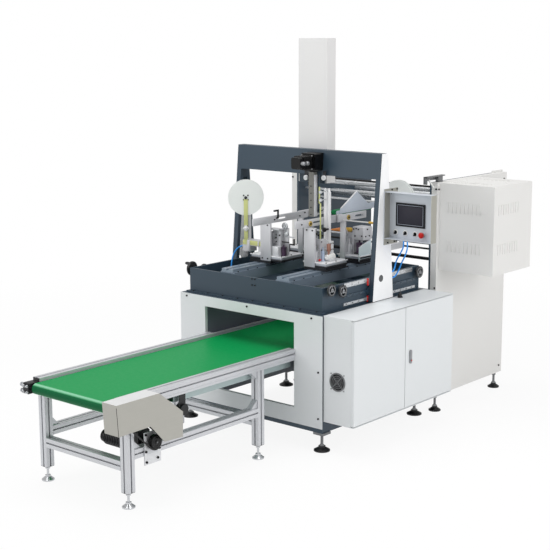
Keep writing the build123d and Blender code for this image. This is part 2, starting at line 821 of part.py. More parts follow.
def rear_frame():
    """Dark inner plates of the feed section, square tubes between them and four that join it to the base."""
    x0, x1 = plate_left + seat_gap, plate_right - seat_gap
    pieces = [block(x - rear_plate, x, rear_front, rear_back, rear_bottom, rear_top)
              for x in (plate_left, plate_right + rear_plate)]
    tie_y = rear_front + 60
    for y, z in ((tie_y, 230.0), (rear_back - 100, 230.0), (tie_y, 860.0), (rear_back - 100, 1500.0)):
        pieces.append(block(x0, x1, y, y + 60, z - 30, z + 30))
    for x in (x0 + 60, x1 - 120):
        for z in (230.0, 860.0):
            pieces.append(block(x, x + 60, base_depth + seat_gap, tie_y - seat_gap, z - 30, z + 30))
    return group(*pieces)


def bars_across(bars):
    """Round bars between the inner plates, each with its depth behind the front edge, height and radius."""
    x0, x1 = plate_left + seat_gap, plate_right - seat_gap
    return group(*[rod((x0, rear_front + y, z), (x1, rear_front + y, z), radius) for y, z, radius in bars])


def feed_loop(margin):
    """Section of the feed belt in Y and Z, made smaller by a margin on every side."""
    centre = Pos(rear_front - feed_rear_gap - feed_length / 2, feed_z)
    return Plane.YZ * centre * SlotOverall(feed_length - 2 * margin, feed_height - 2 * margin)


def feed_belt():
    """Narrow feed belt as one fixed loop over its nose roller."""
    return Pos(feed_x, 0, 0) * extrude(feed_loop(0) - feed_loop(3), feed_width)


def feed_belt_beam():
    """Bar inside the feed belt, and the pointed plate that hangs it from a cross bar."""
    bar = Pos(feed_x, 0, 0) * extrude(feed_loop(4), feed_width)
    y, z, radius = roller_bars[2]
    tip = rear_front - feed_rear_gap - feed_length + 44
    outline = [(tip, z - 2), (tip + 12, z + 15), (tip + 201, z + 123), (tip + 337, z + 22),
               (rear_front + y + 22, z + 20), (rear_front + y + 22, z - 20), (tip, z - 20)]
    x0 = feed_x + feed_width + seat_gap
    hanger = side_plate(outline, x0, x0 + 5)
    hanger -= rod((x0 - 1, rear_front + y, z), (x0 + 6, rear_front + y, z), radius + fit_gap)
    return group(bar, hanger)


def vent_box():
    """Closed box on the right rear wall with two rows of louvres on its front and right side."""
    x0 = base_width + rear_wall + seat_gap
    x1 = x0 + vent_width
    box = block(x0, x1, vent_front, vent_back, vent_bottom, vent_top)
    pitch = vent_width * 0.66 / vent_louvres
    for step in range(vent_louvres):
        x = x0 + 70 + step * pitch
        for z in (1525, 1245):
            box -= block(x, x + 9, vent_front - 1, vent_front + 6, z - 38, z + 38)
            y = vent_front + 60 + step * pitch
            box -= block(x1 - 6, x1 + 1, y, y + 9, z - 38, z + 38)
    return box


# Output conveyor

def conveyor_rails():
    """Two slotted side rails, and the plain rails that continue them inside the base."""
    rails = []
    for x in (rail_left, rail_right):
        rail = slotted_along_y(x, conveyor_front, conveyor_rear, rail_top - profile / 2)
        rail += block(x - profile / 2, x + profile / 2, conveyor_front, conveyor_rear, rail_low, rail_top - profile)
        rails.append(rail)
        rails.append(block(x - 15, x + 15, conveyor_rear + seat_gap, belt_rear, rail_low, rail_top - 10))
    return group(*rails)


def conveyor_legs():
    """Four slotted legs."""
    legs = []
    for x in (rail_left, rail_right):
        for y in (leg_front_y, leg_mid_y):
            legs.append(slotted_post(x, y, leg_low, rail_low - seat_gap))
    return group(*legs)


def conveyor_ties():
    """Low slotted cross bars and side bars between the legs."""
    half = profile / 2 + seat_gap
    ties = []
    for y in (leg_front_y, leg_mid_y):
        ties.append(slotted_along_x(rail_left + half, rail_right - half, y, low_cross_z))
    for x in (rail_left, rail_right):
        ties.append(slotted_along_y(x, leg_front_y + half, leg_mid_y - half, low_side_z))
    return group(*ties)


def gussets():
    """Corner gussets between the legs and the rails, and between the legs and the low side bars."""
    half = profile / 2 + seat_gap
    pieces = []
    for y, way in ((leg_front_y + half, 1), (leg_mid_y - half, -1)):
        for z, up in ((rail_low - seat_gap, -1), (low_side_z + half, 1)):
            outline = [(y, z), (y + way * gusset_size, z), (y, z + up * gusset_size)]
            for x in (rail_left, rail_right):
                pieces.append(side_plate(outline, x - gusset_thick / 2, x + gusset_thick / 2))
    return group(*pieces)


def conveyor_frame():
    """Rails, legs, cross bars and gussets, with the plate of the gear motor."""
    return group(conveyor_rails(), conveyor_legs(), conveyor_ties(), gussets(), motor_plate())


def roller_bearings():
    """Bearing blocks around the journals of the driven roller, and a bearing hung from the right rail."""
    y = belt_front + belt_thick + roller_diameter / 2
    z = belt_top - belt_thick - roller_diameter / 2
    blocks = []
    for x in (rail_left, rail_right):
        piece = block(x - 25, x + 25, bearing_front, conveyor_front - seat_gap, z - 30, z + 30)
        blocks.append(piece - Pos(x, y, z) * Rot(0, 90, 0) * Cylinder(journal_radius + fit_gap, 60))
    hung = block(rail_right - 4, rail_right + 4, snub_y - 25, snub_y + 25, snub_z, rail_low - seat_gap)
    hung += rod((rail_right - 30, snub_y, snub_z), (rail_right + 20, snub_y, snub_z), 34)
    return group(*blocks, hung)


def conveyor_feet():
    feet = []
    for x in (rail_left, rail_right):
        for y in (leg_front_y, leg_mid_y):
            feet.append(levelling_foot(x, y, conveyor_pad, leg_low - seat_gap, 8))
    return group(*feet)


def conveyor_belt():
    """Flat belt as one fixed loop over the end rollers."""
    length = belt_rear - belt_front
    height = roller_diameter + 2 * belt_thick
    middle = Pos((belt_front + belt_rear) / 2, belt_top - height / 2)
    loop = SlotOverall(length, height) - SlotOverall(length - 2 * belt_thick, height - 2 * belt_thick)
    return Pos(conveyor_centre - belt_width / 2, 0, 0) * extrude(Plane.YZ * middle * loop, belt_width)


def conveyor_bed():
    """Slider bed and rear roller inside the belt loop."""
    z1 = belt_top - belt_thick - fit_gap
    x0, x1 = conveyor_centre - belt_width / 2, conveyor_centre + belt_width / 2
    bed = block(x0, x1, belt_front + 80, belt_rear - 80, z1 - roller_diameter + 2 * fit_gap, z1)
    y, z = belt_rear - belt_thick - roller_diameter / 2, belt_top - belt_thick - roller_diameter / 2
    return group(bed, rod((x0, y, z), (x1, y, z), roller_diameter / 2 - fit_gap))


def front_roller():
    """Driven roller at the front, with its journals."""
    y = belt_front + belt_thick + roller_diameter / 2
    z = belt_top - belt_thick - roller_diameter / 2
    x0, x1 = conveyor_centre - belt_width / 2, conveyor_centre + belt_width / 2
    drum = rod((x0, y, z), (x1, y, z), roller_diameter / 2 - fit_gap)
    drum += rod((rail_left - 26, y, z), (pulley_x + pulley_width, y, z), journal_radius)
    return drum + rod((pulley_x, y, z), (pulley_x + pulley_width, y, z), roller_pulley)


def belt_pan():
    """Folded pan under the belt, its sides against the rails."""
    x0, x1 = rail_left + profile / 2 + seat_gap, rail_right - profile / 2 - seat_gap
    pan = block(x0, x1, pan_front, pan_rear, pan_bottom, rail_low + 30)
    return pan - block(x0 + 3, x1 - 3, pan_front - 1, pan_rear + 1, pan_bottom + 3, rail_low + 31)


def drive_guard():
    """Folded guard of the conveyor drive, open below and towards the rail."""
    top_rear = guard_front + 336
    rear, low = motor_y + 191, 300
    outline = [(guard_front, guard_top), (top_rear, guard_top), (rear, 525), (rear - 4, 369), (motor_y + 35, 376),
               (motor_y - 76, 496), (guard_front + 13, 492)]
    t = guard_sheet
    hollow = [(guard_front + t, guard_top - t), (top_rear - t / 2, guard_top - t), (rear - t, 525 - t / 2),
              (rear - 4 - t, low), (guard_front + t + 26, low)]
    guard = side_plate(outline, guard_inner, guard_outer) - side_plate(hollow, guard_inner + t, guard_outer - t)
    room = block(guard_inner - 1, rail_right + profile / 2 + seat_gap, bearing_front - seat_gap, 0, 0,
                 rail_top + seat_gap)
    return guard - room


def drive_motor():
    """Gear motor across the conveyor, its gearbox against the low side bar."""
    x1 = rail_right - profile / 2 - seat_gap
    radius = motor_diameter / 2
    motor = rod((x1 - 320, motor_y, motor_body_z), (x1 - 90, motor_y, motor_body_z), radius)
    motor += rod((x1 - 345, motor_y, motor_body_z), (x1 - 320, motor_y, motor_body_z), radius - 6)
    gear = block(x1 - 90, x1, motor_y - 48, motor_y + 48, motor_body_z - 36, motor_z + 54)
    return motor + chamfer(gear.edges().filter_by(Axis.X), 8)


def motor_pulley():
    """Motor shaft and pulley."""
    x0 = rail_right - profile / 2
    shaft = rod((x0, motor_y, motor_z), (pulley_x + pulley_width, motor_y, motor_z), 9)
    return shaft + rod((pulley_x, motor_y, motor_z), (pulley_x + pulley_width, motor_y, motor_z), motor_pulley_radius)


def v_belt():
    """Drive belt round the motor pulley and the roller pulley, one fixed loop."""
    y = belt_front + belt_thick + roller_diameter / 2
    z = belt_top - belt_thick - roller_diameter / 2
    rise = atan2(z - motor_z, y - motor_y)
    span = ((z - motor_z) ** 2 + (y - motor_y) ** 2) ** 0.5
    loops = []
    for grow in (fit_gap, fit_gap + v_belt_thick):
        a, b = motor_pulley_radius + grow, roller_pulley + grow
        lean = asin((a - b) / span)
        up, down = rise + pi / 2 - lean, rise - pi / 2 + lean
        a_up = (motor_y + a * cos(up), motor_z + a * sin(up))
        a_down = (motor_y + a * cos(down), motor_z + a * sin(down))
        b_up = (y + b * cos(up), z + b * sin(up))
        b_down = (y + b * cos(down), z + b * sin(down))
        a_far = (motor_y - a * cos(rise), motor_z - a * sin(rise))
        b_far = (y + b * cos(rise), z + b * sin(rise))
        edges = [Line(a_up, b_up), ThreePointArc(b_up, b_far, b_down), Line(b_down, a_down),
                 ThreePointArc(a_down, a_far, a_up)]
        loops.append(make_face(edges))
    return Pos(pulley_x + 5, 0, 0) * extrude(Plane.YZ * (loops[1] - loops[0]), pulley_width - 10)


def motor_plate():
    """Plate that holds the gear motor on the low side bar."""
    x0 = rail_right + profile / 2 + seat_gap
    plate = block(x0, x0 + 6, motor_y - 60, motor_y + 70, 300, motor_z + 60)
    return plate - Pos(x0, motor_y, motor_z) * Rot(0, 90, 0) * Cylinder(16, 30)


def handwheel(y, z, diameter=wheel_diameter):
    """Right handwheel: a dished wheel with a hub, on the tray side."""
    r = diameter / 2
    points = [(0, 0), (10, 0), (10, wheel_reach - 16), (r - 8, wheel_reach - 14), (r, wheel_reach - 10),
              (r, wheel_reach - 2), (r - 8, wheel_reach), (17, wheel_reach - 4), (0, wheel_reach - 4)]
    turned = revolve(make_face(Polyline(*[(a, 0, b) for a, b in points], close=True)), Axis.Z)
    return Pos(tray_right + fit_gap, y, z) * Rot(0, 90, 0) * turned


def crank_wheel(y, z):
    """Left handwheel with a crank handle."""
    wheel = mirrored(handwheel(y, z, crank_diameter))
    x0 = tray_left - fit_gap - wheel_reach
    return wheel + rod((x0 + 2, y, z + 32), (x0 - 55, y, z + 32), 8)


nodes = {
    "base_frame": base_frame(),
    "base_panels": base_panels(),
    "levelling_feet": levelling_feet(),
    "cabinet_shell": cabinet_shell(),
    "door_front": door_leaf(cabinet_front + 1, door_seam - door_gap / 2),
    "door_rear": door_leaf(door_seam + door_gap / 2, cabinet_rear - 1),
    "door_lock": door_lock(),
    "fan_grille": fan_grille(),
    "tray_plates": tray_plates(),
    "side_rails": side_rails(),
    "slide_beams": slide_beams(),
    "front_carriages": head_pair(head_carriage(head_front_start)),
    "front_horns": head_pair(front_horn()),
    "front_presses": head_pair(head_press(head_front_start)),
    "rear_carriages": head_pair(head_carriage(head_rear_start)),
    "rear_presses": head_pair(head_press(head_rear_start)),
    "rear_horns": head_pair(rear_horn()),
    "tape_guides": tape_guides(),
    "head_air_tube": air_tube("head_air_tube", head_tube),
    "tape_reel": tape_reel(reel_plane()),
    "reel_stand": reel_stand(),
    "rear_reel": tape_reel(rear_reel_plane()),
    "rear_reel_stand": rear_reel_stand(),
    "gantry_frame": gantry_frame(),
    "gantry_covers": group(gantry_cover(), mirrored(gantry_cover())),
    "bearing_blocks": bearing_blocks(),
    "bearing_caps": bearing_caps(),
    "tower_cover": tower_cover(),
    "ram_column": ram_column(),
    "servo_motor": servo_motor(),
    "control_box": control_box(),
    "screen_bezel": screen_bezel(),
    "selector_buttons": selector_buttons(),
    "stop_button": stop_button(),
    "screen_air_tube_front": air_tube("screen_air_tube_front", front_tube),
    "screen_air_tube_rear": air_tube("screen_air_tube_rear", rear_tube),
    "rear_walls": rear_walls(),
    "rear_frame": rear_frame(),
    "feed_rollers": bars_across(roller_bars),
    "cross_bars": bars_across(dark_bars),
    "feed_belt": feed_belt(),
    "feed_belt_beam": feed_belt_beam(),
    "vent_box": vent_box(),
    "conveyor_frame": conveyor_frame(),
    "conveyor_feet": conveyor_feet(),
    "conveyor_belt": conveyor_belt(),
    "conveyor_bed": conveyor_bed(),
    "roller_bearings": roller_bearings(),
    "front_roller": front_roller(),
    "belt_pan": belt_pan(),
    "drive_guard": drive_guard(),
    "drive_motor": drive_motor(),
    "motor_pulley": motor_pulley(),
    "v_belt": v_belt(),
    "handwheel_front": handwheel(*wheel_front),
    "handwheel_second": handwheel(*wheel_second),
    "handwheel_rear": handwheel(*wheel_rear),
    "handwheel_left": mirrored(handwheel(*wheel_second)),
    "crank_wheel": crank_wheel(*wheel_front),
}

shift = Pos(-foot_inset_x, -foot_inset_y, 0)
for name, shape in nodes.items():
    export_step(shift * shape, f"parts/{name}.step")
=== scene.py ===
import bmesh
import bpy
from math import atan2, cos, pi, radians, sin
from mathutils import Matrix, Vector


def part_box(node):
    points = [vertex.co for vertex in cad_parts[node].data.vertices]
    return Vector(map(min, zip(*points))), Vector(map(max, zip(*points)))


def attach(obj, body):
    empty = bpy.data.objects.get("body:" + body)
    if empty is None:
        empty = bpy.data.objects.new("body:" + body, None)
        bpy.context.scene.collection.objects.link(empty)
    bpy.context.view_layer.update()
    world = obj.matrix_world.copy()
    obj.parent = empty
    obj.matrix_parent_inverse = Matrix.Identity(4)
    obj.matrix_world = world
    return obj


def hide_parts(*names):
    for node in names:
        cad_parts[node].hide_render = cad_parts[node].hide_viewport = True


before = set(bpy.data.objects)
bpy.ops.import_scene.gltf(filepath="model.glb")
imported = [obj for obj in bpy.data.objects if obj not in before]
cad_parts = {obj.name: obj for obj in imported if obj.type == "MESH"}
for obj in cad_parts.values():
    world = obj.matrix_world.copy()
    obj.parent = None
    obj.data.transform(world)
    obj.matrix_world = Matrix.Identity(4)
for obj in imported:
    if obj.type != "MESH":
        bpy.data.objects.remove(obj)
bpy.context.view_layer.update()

# The camera stands in front of the conveyor's right corner, as high as the top of the machine.
# Its place and lens follow the vanishing lines of the base, the gantry and the conveyor.
eye = bpy.data.cameras.new("studio_camera")
eye.sensor_width = 36.0
eye.lens = 82.114
eye.clip_end = 100.0
camera = bpy.data.objects.new("studio_camera", eye)
bpy.context.scene.collection.objects.link(camera)
heading, dip, roll = 0.709779, 0.185895, -0.0041
turn = Matrix.Rotation(heading, 4, "Z") @ Matrix.Rotation(pi / 2 - dip, 4, "X") @ Matrix.Rotation(roll, 4,
    "Z")
camera.matrix_world = Matrix.Translation((6.22468, -6.29230, 2.70544)) @ turn
bpy.context.scene.camera = camera
bpy.context.scene.view_settings.view_transform = "Standard"


# The studio: a plain white floor that keeps the machine's soft shadow, under an even white sky.
# Seen directly, floor and sky are white, and the lamps stay at the level of the written colours.
def nodes_of(material):
    """Node tree of a material or world, emptied."""
    material.use_nodes = True
    tree = material.node_tree
    tree.nodes.clear()
    return tree


def wired(tree, kind, inputs=None, **settings):
    """A node with its settings, and its inputs set to values or joined to sockets."""
    node = tree.nodes.new(kind)
    for key, value in settings.items():
        setattr(node, key, value)
    for key, value in (inputs or {}).items():
        if isinstance(value, bpy.types.NodeSocket):
            tree.links.new(value, node.inputs[key])
        else:
            node.inputs[key].default_value = value
    return node


def maths(tree, operation, first, second):
    """A math node of two inputs."""
    return wired(tree, "ShaderNodeMath", {0: first, 1: second}, operation=operation)


bpy.ops.object.select_all(action="DESELECT")
bpy.ops.mesh.primitive_plane_add(size=60, location=(0.6, 0.6, -0.0005))
floor = bpy.context.object
floor.name = "studio_floor"
floor_paint = bpy.data.materials.new("studio_floor_paint")
tree = nodes_of(floor_paint)
matt = wired(tree, "ShaderNodeBsdfDiffuse", {"Color": (0.86, 0.86, 0.86, 1)})
glow = wired(tree, "ShaderNodeEmission", {"Color": (1, 1, 1, 1), "Strength": 1.0})
path = wired(tree, "ShaderNodeLightPath")
seen = maths(tree, "MAXIMUM", path.outputs["Is Camera Ray"], path.outputs["Is Glossy Ray"])
clear = maths(tree, "MAXIMUM", seen.outputs[0], path.outputs["Is Transmission Ray"])
place = wired(tree, "ShaderNodeTexCoord").outputs["Object"]
reach = wired(tree, "ShaderNodeVectorMath", {0: place}, operation="LENGTH")
blank = wired(tree, "ShaderNodeMapRange", {"Value": reach.outputs["Value"], "From Min": 1.5, "From Max": 6.0,
    "To Min": 0.9, "To Max": 1.0})
share = maths(tree, "MULTIPLY", clear.outputs[0], blank.outputs[0])
both = wired(tree, "ShaderNodeMixShader", {0: share.outputs[0], 1: matt.outputs[0], 2: glow.outputs[0]})
wired(tree, "ShaderNodeOutputMaterial", {"Surface": both.outputs[0]})
floor.data.materials.append(floor_paint)

sky = bpy.context.scene.world or bpy.data.worlds.new("studio_sky")
bpy.context.scene.world = sky
tree = nodes_of(sky)
path = wired(tree, "ShaderNodeLightPath")
seen = maths(tree, "MAXIMUM", path.outputs["Is Camera Ray"], path.outputs["Is Transmission Ray"])
dim = wired(tree, "ShaderNodeBackground", {"Color": (1.0, 0.985, 0.98, 1), "Strength": 0.62})
white = wired(tree, "ShaderNodeBackground", {"Color": (1, 1, 1, 1), "Strength": 1.0})
both = wired(tree, "ShaderNodeMixShader", {0: seen.outputs[0], 1: dim.outputs[0], 2: white.outputs[0]})
wired(tree, "ShaderNodeOutputWorld", {"Surface": both.outputs[0]})


def soft_lamp(name, place, target, size, power):
    """A square soft box aimed at a point."""
    lamp = bpy.data.lights.new(name, "AREA")
    lamp.size = size
    lamp.energy = power
    holder = bpy.data.objects.new(name, lamp)
    bpy.context.scene.collection.objects.link(holder)
    aim = (Vector(target) - Vector(place)).to_track_quat("-Z", "Y")
    holder.matrix_world = Matrix.Translation(place) @ aim.to_matrix().to_4x4()


soft_lamp("top_box", (0.2, -0.8, 6.5), (0.6, -0.2, 0.8), 5.0, 215)
soft_lamp("front_box", (-2.5, -6.5, 3.6), (0.6, -0.2, 0.7), 3.5, 92)
soft_lamp("side_box", (7.0, 1.0, 3.2), (0.8, 0.4, 0.9), 3.5, 120)


# Finishes share these patterns: painted skin, drawn or brushed metal, moulded plastic and belt cloth.
# Each group gives a colour, a roughness and a normal that change over the surface.
def tint(red, green, blue):
    """A colour read off as 0 to 255, as linear light."""
    return tuple(((v / 255 + 0.055) / 1.055) ** 2.4 if v > 10 else v / 3295
        for v in (red, green, blue)) + (1.0,)


def pattern(name, floats):
    """A group with a tone and number inputs, and with colour, roughness and normal outputs."""
    tree = bpy.data.node_groups.new(name, "ShaderNodeTree")
    tone = tree.interface.new_socket("Tone", in_out="INPUT", socket_type="NodeSocketColor")
    tone.default_value = (0.8, 0.8, 0.8, 1)
    for key, value in floats.items():
        tree.interface.new_socket(key, in_out="INPUT", socket_type="NodeSocketFloat").default_value = value
    tree.interface.new_socket("Colour", in_out="OUTPUT", socket_type="NodeSocketColor")
    tree.interface.new_socket("Roughness", in_out="OUTPUT", socket_type="NodeSocketFloat")
    tree.interface.new_socket("Normal", in_out="OUTPUT", socket_type="NodeSocketVector")
    return tree, tree.nodes.new("NodeGroupInput"), tree.nodes.new("NodeGroupOutput")


def spread(tree, value, low, high):
    """A 0 to 1 socket mapped to a range."""
    node = wired(tree, "ShaderNodeMapRange", {"Value": value, "To Min": low, "To Max": high})
    return node.outputs[0]


def shade(tree, tone, factor):
    """A tone times a grey factor."""
    grey = wired(tree, "ShaderNodeCombineColor", {0: factor, 1: factor, 2: factor})
    node = wired(tree, "ShaderNodeMix", {0: 1.0, 6: tone, 7: grey.outputs[0]}, data_type="RGBA",
        blend_type="MULTIPLY")
    return node.outputs[2]


def deliver(tree, given, result, colour, rough, height, strength, distance):
    """A group's outputs: a colour, its gloss with a rough offset, and the normal of a height."""
    gloss = maths(tree, "ADD", given.outputs["Gloss"], rough)
    relief = wired(tree, "ShaderNodeBump", {"Height": height, "Strength": strength, "Distance": distance})
    for key, socket in (("Colour", colour), ("Roughness", gloss.outputs[0]), ("Normal", relief.outputs[0])):
        tree.links.new(socket, result.inputs[key])


# Powder coat: fine orange peel, faint clouds in the colour, and a breath of dust on faces that look up.
tree, given, result = pattern("powder_coat", {"Peel": 420.0, "Clouds": 0.05, "Gloss": 0.42, "Dust": 0.10})
where = wired(tree, "ShaderNodeTexCoord").outputs["Object"]
peel = wired(tree, "ShaderNodeTexNoise", {"Vector": where, "Scale": given.outputs["Peel"], "Detail": 2.0})
cloud = wired(tree, "ShaderNodeTexNoise", {"Vector": where, "Scale": 2.3, "Detail": 5.0, "Roughness": 0.6})
speck = wired(tree, "ShaderNodeTexNoise", {"Vector": where, "Scale": 95.0, "Detail": 3.0})
less = maths(tree, "SUBTRACT", 1.0, given.outputs["Clouds"])
more = maths(tree, "ADD", 1.0, given.outputs["Clouds"])
level = spread(tree, cloud.outputs[0], less.outputs[0], more.outputs[0])
fine = spread(tree, speck.outputs[0], 0.985, 1.015)
factor = maths(tree, "MULTIPLY", level, fine)
coated = shade(tree, given.outputs["Tone"], factor.outputs[0])
outward = wired(tree, "ShaderNodeSeparateXYZ", {0: wired(tree, "ShaderNodeNewGeometry").outputs["Normal"]})
upward = wired(tree, "ShaderNodeMath", {0: outward.outputs[2], 1: given.outputs["Dust"]},
    operation="MULTIPLY", use_clamp=True)
settled = maths(tree, "MULTIPLY", upward.outputs[0], cloud.outputs[0])
dusty = wired(tree, "ShaderNodeMix", {0: settled.outputs[0], 6: coated, 7: (0.62, 0.60, 0.56, 1)},
    data_type="RGBA")
rough = spread(tree, speck.outputs[0], -0.05, 0.07)
deliver(tree, given, result, dusty.outputs[2], rough, peel.outputs[0], 0.12, 0.0006)

# Drawn metal: long fine lines along one axis, smears of handling, and a rougher shine across the lines.
tree, given, result = pattern("drawn_metal", {"Across": 900.0, "Along": 6.0, "Axis": 1.0, "Gloss": 0.3,
    "Lines": 0.08})
where = wired(tree, "ShaderNodeTexCoord").outputs["Object"]
part = wired(tree, "ShaderNodeSeparateXYZ", {0: where})
scales = []
for axis in range(3):
    same = wired(tree, "ShaderNodeMath", {0: given.outputs["Axis"], 1: float(axis), 2: 0.1},
        operation="COMPARE")
    rate = wired(tree, "ShaderNodeMapRange", {"Value": same.outputs[0], "To Min": given.outputs["Across"],
        "To Max": given.outputs["Along"]})
    scales.append(maths(tree, "MULTIPLY", part.outputs[axis], rate.outputs[0]).outputs[0])
stretched = wired(tree, "ShaderNodeCombineXYZ", {0: scales[0], 1: scales[1], 2: scales[2]})
lines = wired(tree, "ShaderNodeTexNoise", {"Vector": stretched.outputs[0], "Scale": 1.0, "Detail": 3.0,
    "Roughness": 0.65})
smear = wired(tree, "ShaderNodeTexNoise", {"Vector": where, "Scale": 14.0, "Detail": 4.0})
less = maths(tree, "SUBTRACT", 1.0, given.outputs["Lines"])
more = maths(tree, "ADD", 1.0, given.outputs["Lines"])
level = spread(tree, lines.outputs[0], less.outputs[0], more.outputs[0])
broad = spread(tree, smear.outputs[0], 0.96, 1.03)
factor = maths(tree, "MULTIPLY", level, broad)
drawn = shade(tree, given.outputs["Tone"], factor.outputs[0])
rough = spread(tree, smear.outputs[0], -0.07, 0.09)
deliver(tree, given, result, drawn, rough, lines.outputs[0], 0.10, 0.0003)

# Moulded plastic and rubber: a fine leathery grain with small pale scuffs.
tree, given, result = pattern("moulded_grain", {"Grain": 1400.0, "Scuffs": 0.05, "Gloss": 0.45})
where = wired(tree, "ShaderNodeTexCoord").outputs["Object"]
cells = wired(tree, "ShaderNodeTexVoronoi", {"Vector": where, "Scale": given.outputs["Grain"]})
scuff = wired(tree, "ShaderNodeTexNoise", {"Vector": where, "Scale": 38.0, "Detail": 6.0, "Roughness": 0.7})
worn = wired(tree, "ShaderNodeMapRange", {"Value": scuff.outputs[0], "From Min": 0.55, "From Max": 0.8,
    "To Min": 0.0, "To Max": given.outputs["Scuffs"]})
grey = wired(tree, "ShaderNodeMix", {0: worn.outputs[0], 6: given.outputs["Tone"], 7: (0.55, 0.55, 0.55, 1)},
    data_type="RGBA")
rough = spread(tree, scuff.outputs[0], -0.08, 0.12)
deliver(tree, given, result, grey.outputs[2], rough, cells.outputs[0], 0.15, 0.0003)


def finish(name, tone, surface, values, metallic=0.0, coat=0.0, specular=0.5):
    """A material of one of the patterns above."""
    made = bpy.data.materials.new(name)
    tree = nodes_of(made)
    group = tree.nodes.new("ShaderNodeGroup")
    group.node_tree = bpy.data.node_groups[surface]
    group.inputs["Tone"].default_value = tone
    for key, value in values.items():
        group.inputs[key].default_value = value
    skin = wired(tree, "ShaderNodeBsdfPrincipled", {"Base Color": group.outputs["Colour"],
        "Metallic": metallic, "Roughness": group.outputs["Roughness"], "Normal": group.outputs["Normal"],
        "Coat Weight": coat, "Specular IOR Level": specular})
    wired(tree, "ShaderNodeOutputMaterial", {"Surface": skin.outputs[0]})
    return made


def metal(name, tone, axis, gloss, metallic):
    """Drawn or brushed metal with its lines along one axis."""
    return finish(name, tone, "drawn_metal", {"Axis": axis, "Gloss": gloss}, metallic)


def moulded(name, tone, gloss=0.45, scuffs=0.05, grain=1400.0, metallic=0.0, specular=0.5):
    """Plastic, rubber or lacquer with a fine grain."""
    values = {"Grain": grain, "Scuffs": scuffs, "Gloss": gloss}
    return finish(name, tone, "moulded_grain", values, metallic, specular=specular)


def powder(name, tone, gloss, clouds, dust):
    """Powder coat in one tone."""
    return finish(name, tone, "powder_coat", {"Gloss": gloss, "Clouds": clouds, "Dust": dust})


def dress(material, *names):
    """The material put on CAD nodes."""
    for name in names:
        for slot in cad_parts[name].material_slots:
            slot.material = material


# The air tubes: blue polyurethane tube, 10 mm across, cut from a coil and pushed into the fittings.
# One drops from the front head into the deck, and two lead from the control box round the right leg.
tube_blue = moulded("tube_blue", tint(38, 152, 243), 0.3, 0.02, grain=2200.0)
tube_width = 0.010


def air_tube(name, node, body, route):
    """A bent tube along its route, in place of the plain CAD one."""
    line = bpy.data.curves.new(name, "CURVE")
    line.dimensions = "3D"
    line.bevel_depth = tube_width / 2
    line.bevel_resolution = 5
    line.resolution_u = 12
    line.use_fill_caps = True
    spline = line.splines.new("NURBS")
    spline.points.add(len(route) - 1)
    for point, place in zip(spline.points, route):
        point.co = place + (1.0,)
    spline.order_u = 3
    spline.use_endpoint_u = True
    tube = bpy.data.objects.new(name, line)
    bpy.context.scene.collection.objects.link(tube)
    line.materials.append(tube_blue)
    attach(tube, body)
    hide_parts(node)


air_tube("head_tube", "head_air_tube", "front_heads", [(0.104, 0.472, 1.212), (0.077, 0.460, 1.204),
    (0.057, 0.443, 1.178), (0.049, 0.426, 1.146), (0.048, 0.411, 1.110), (0.055, 0.396, 1.070),
    (0.062, 0.385, 1.028), (0.063, 0.383, 0.978), (0.063, 0.383, 0.9283)])
air_tube("box_tube_front", "screen_air_tube_front", "gantry",
    [(1.377, 0.700, 1.375), (1.377, 0.700, 1.338), (1.363, 0.719, 1.300), (1.327, 0.747, 1.262),
    (1.289, 0.777, 1.228), (1.253, 0.799, 1.192), (1.240, 0.801, 1.156), (1.243, 0.785, 1.124),
    (1.247, 0.757, 1.108), (1.247, 0.723, 1.108)])
air_tube("box_tube_rear", "screen_air_tube_rear", "gantry",
    [(1.407, 0.700, 1.375), (1.407, 0.700, 1.338), (1.397, 0.719, 1.300), (1.367, 0.747, 1.256),
    (1.329, 0.777, 1.212), (1.291, 0.799, 1.168), (1.267, 0.811, 1.126), (1.253, 0.801, 1.088),
    (1.249, 0.775, 1.068), (1.249, 0.741, 1.068)])

# The base: a welded tube frame painted slate blue, clad in white powder-coated sheet with folded edges.
# It stands on black levelling feet, and the tunnel for the finished boxes runs through it.
slate_tone, foot_tone = tint(43, 62, 77), tint(26, 27, 29)
slate_paint = powder("slate_paint", slate_tone, 0.42, 0.05, 0.05)
white_paint = powder("white_paint", tint(220, 224, 226), 0.4, 0.012, 0.0)
black_metal = moulded("black_metal", foot_tone, 0.38, metallic=0.2)
screw_black = moulded("screw_black", tint(22, 22, 24), 0.35, grain=2600.0, metallic=0.3)
dress(slate_paint, "base_frame")
dress(white_paint, "base_panels")


def along(tree, kind, output, axis):
    """One axis of a place or a normal."""
    source = wired(tree, kind).outputs[output]
    return wired(tree, "ShaderNodeSeparateXYZ", {0: source}).outputs[axis]


def two_tones(tree, factor, first, second):
    """The pattern's tone blended from the first to the second by a factor."""
    toned = wired(tree, "ShaderNodeMix", {0: factor, 6: first, 7: second}, data_type="RGBA")
    tree.links.new(toned.outputs[2], next(node for node in tree.nodes if node.type == "GROUP").inputs["Tone"])
    return toned.outputs[2]


foot_black = moulded("foot_black", foot_tone, 0.38, metallic=0.2)
tree = foot_black.node_tree
height = along(tree, "ShaderNodeTexCoord", "Object", 2)
stem = wired(tree, "ShaderNodeMapRange", {0: height, 1: 0.033, 2: 0.036})
two_tones(tree, stem.outputs[0], foot_tone, tint(120, 122, 125))
dress(foot_black, "levelling_feet")
base_corner = Vector(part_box("base_panels")[0])
base_width = 1.300


def spot(x, y, z):
    """A place in the model, from metres measured off the left front corner of the base and the floor."""
    return Vector((base_corner.x + x, base_corner.y + y, z))


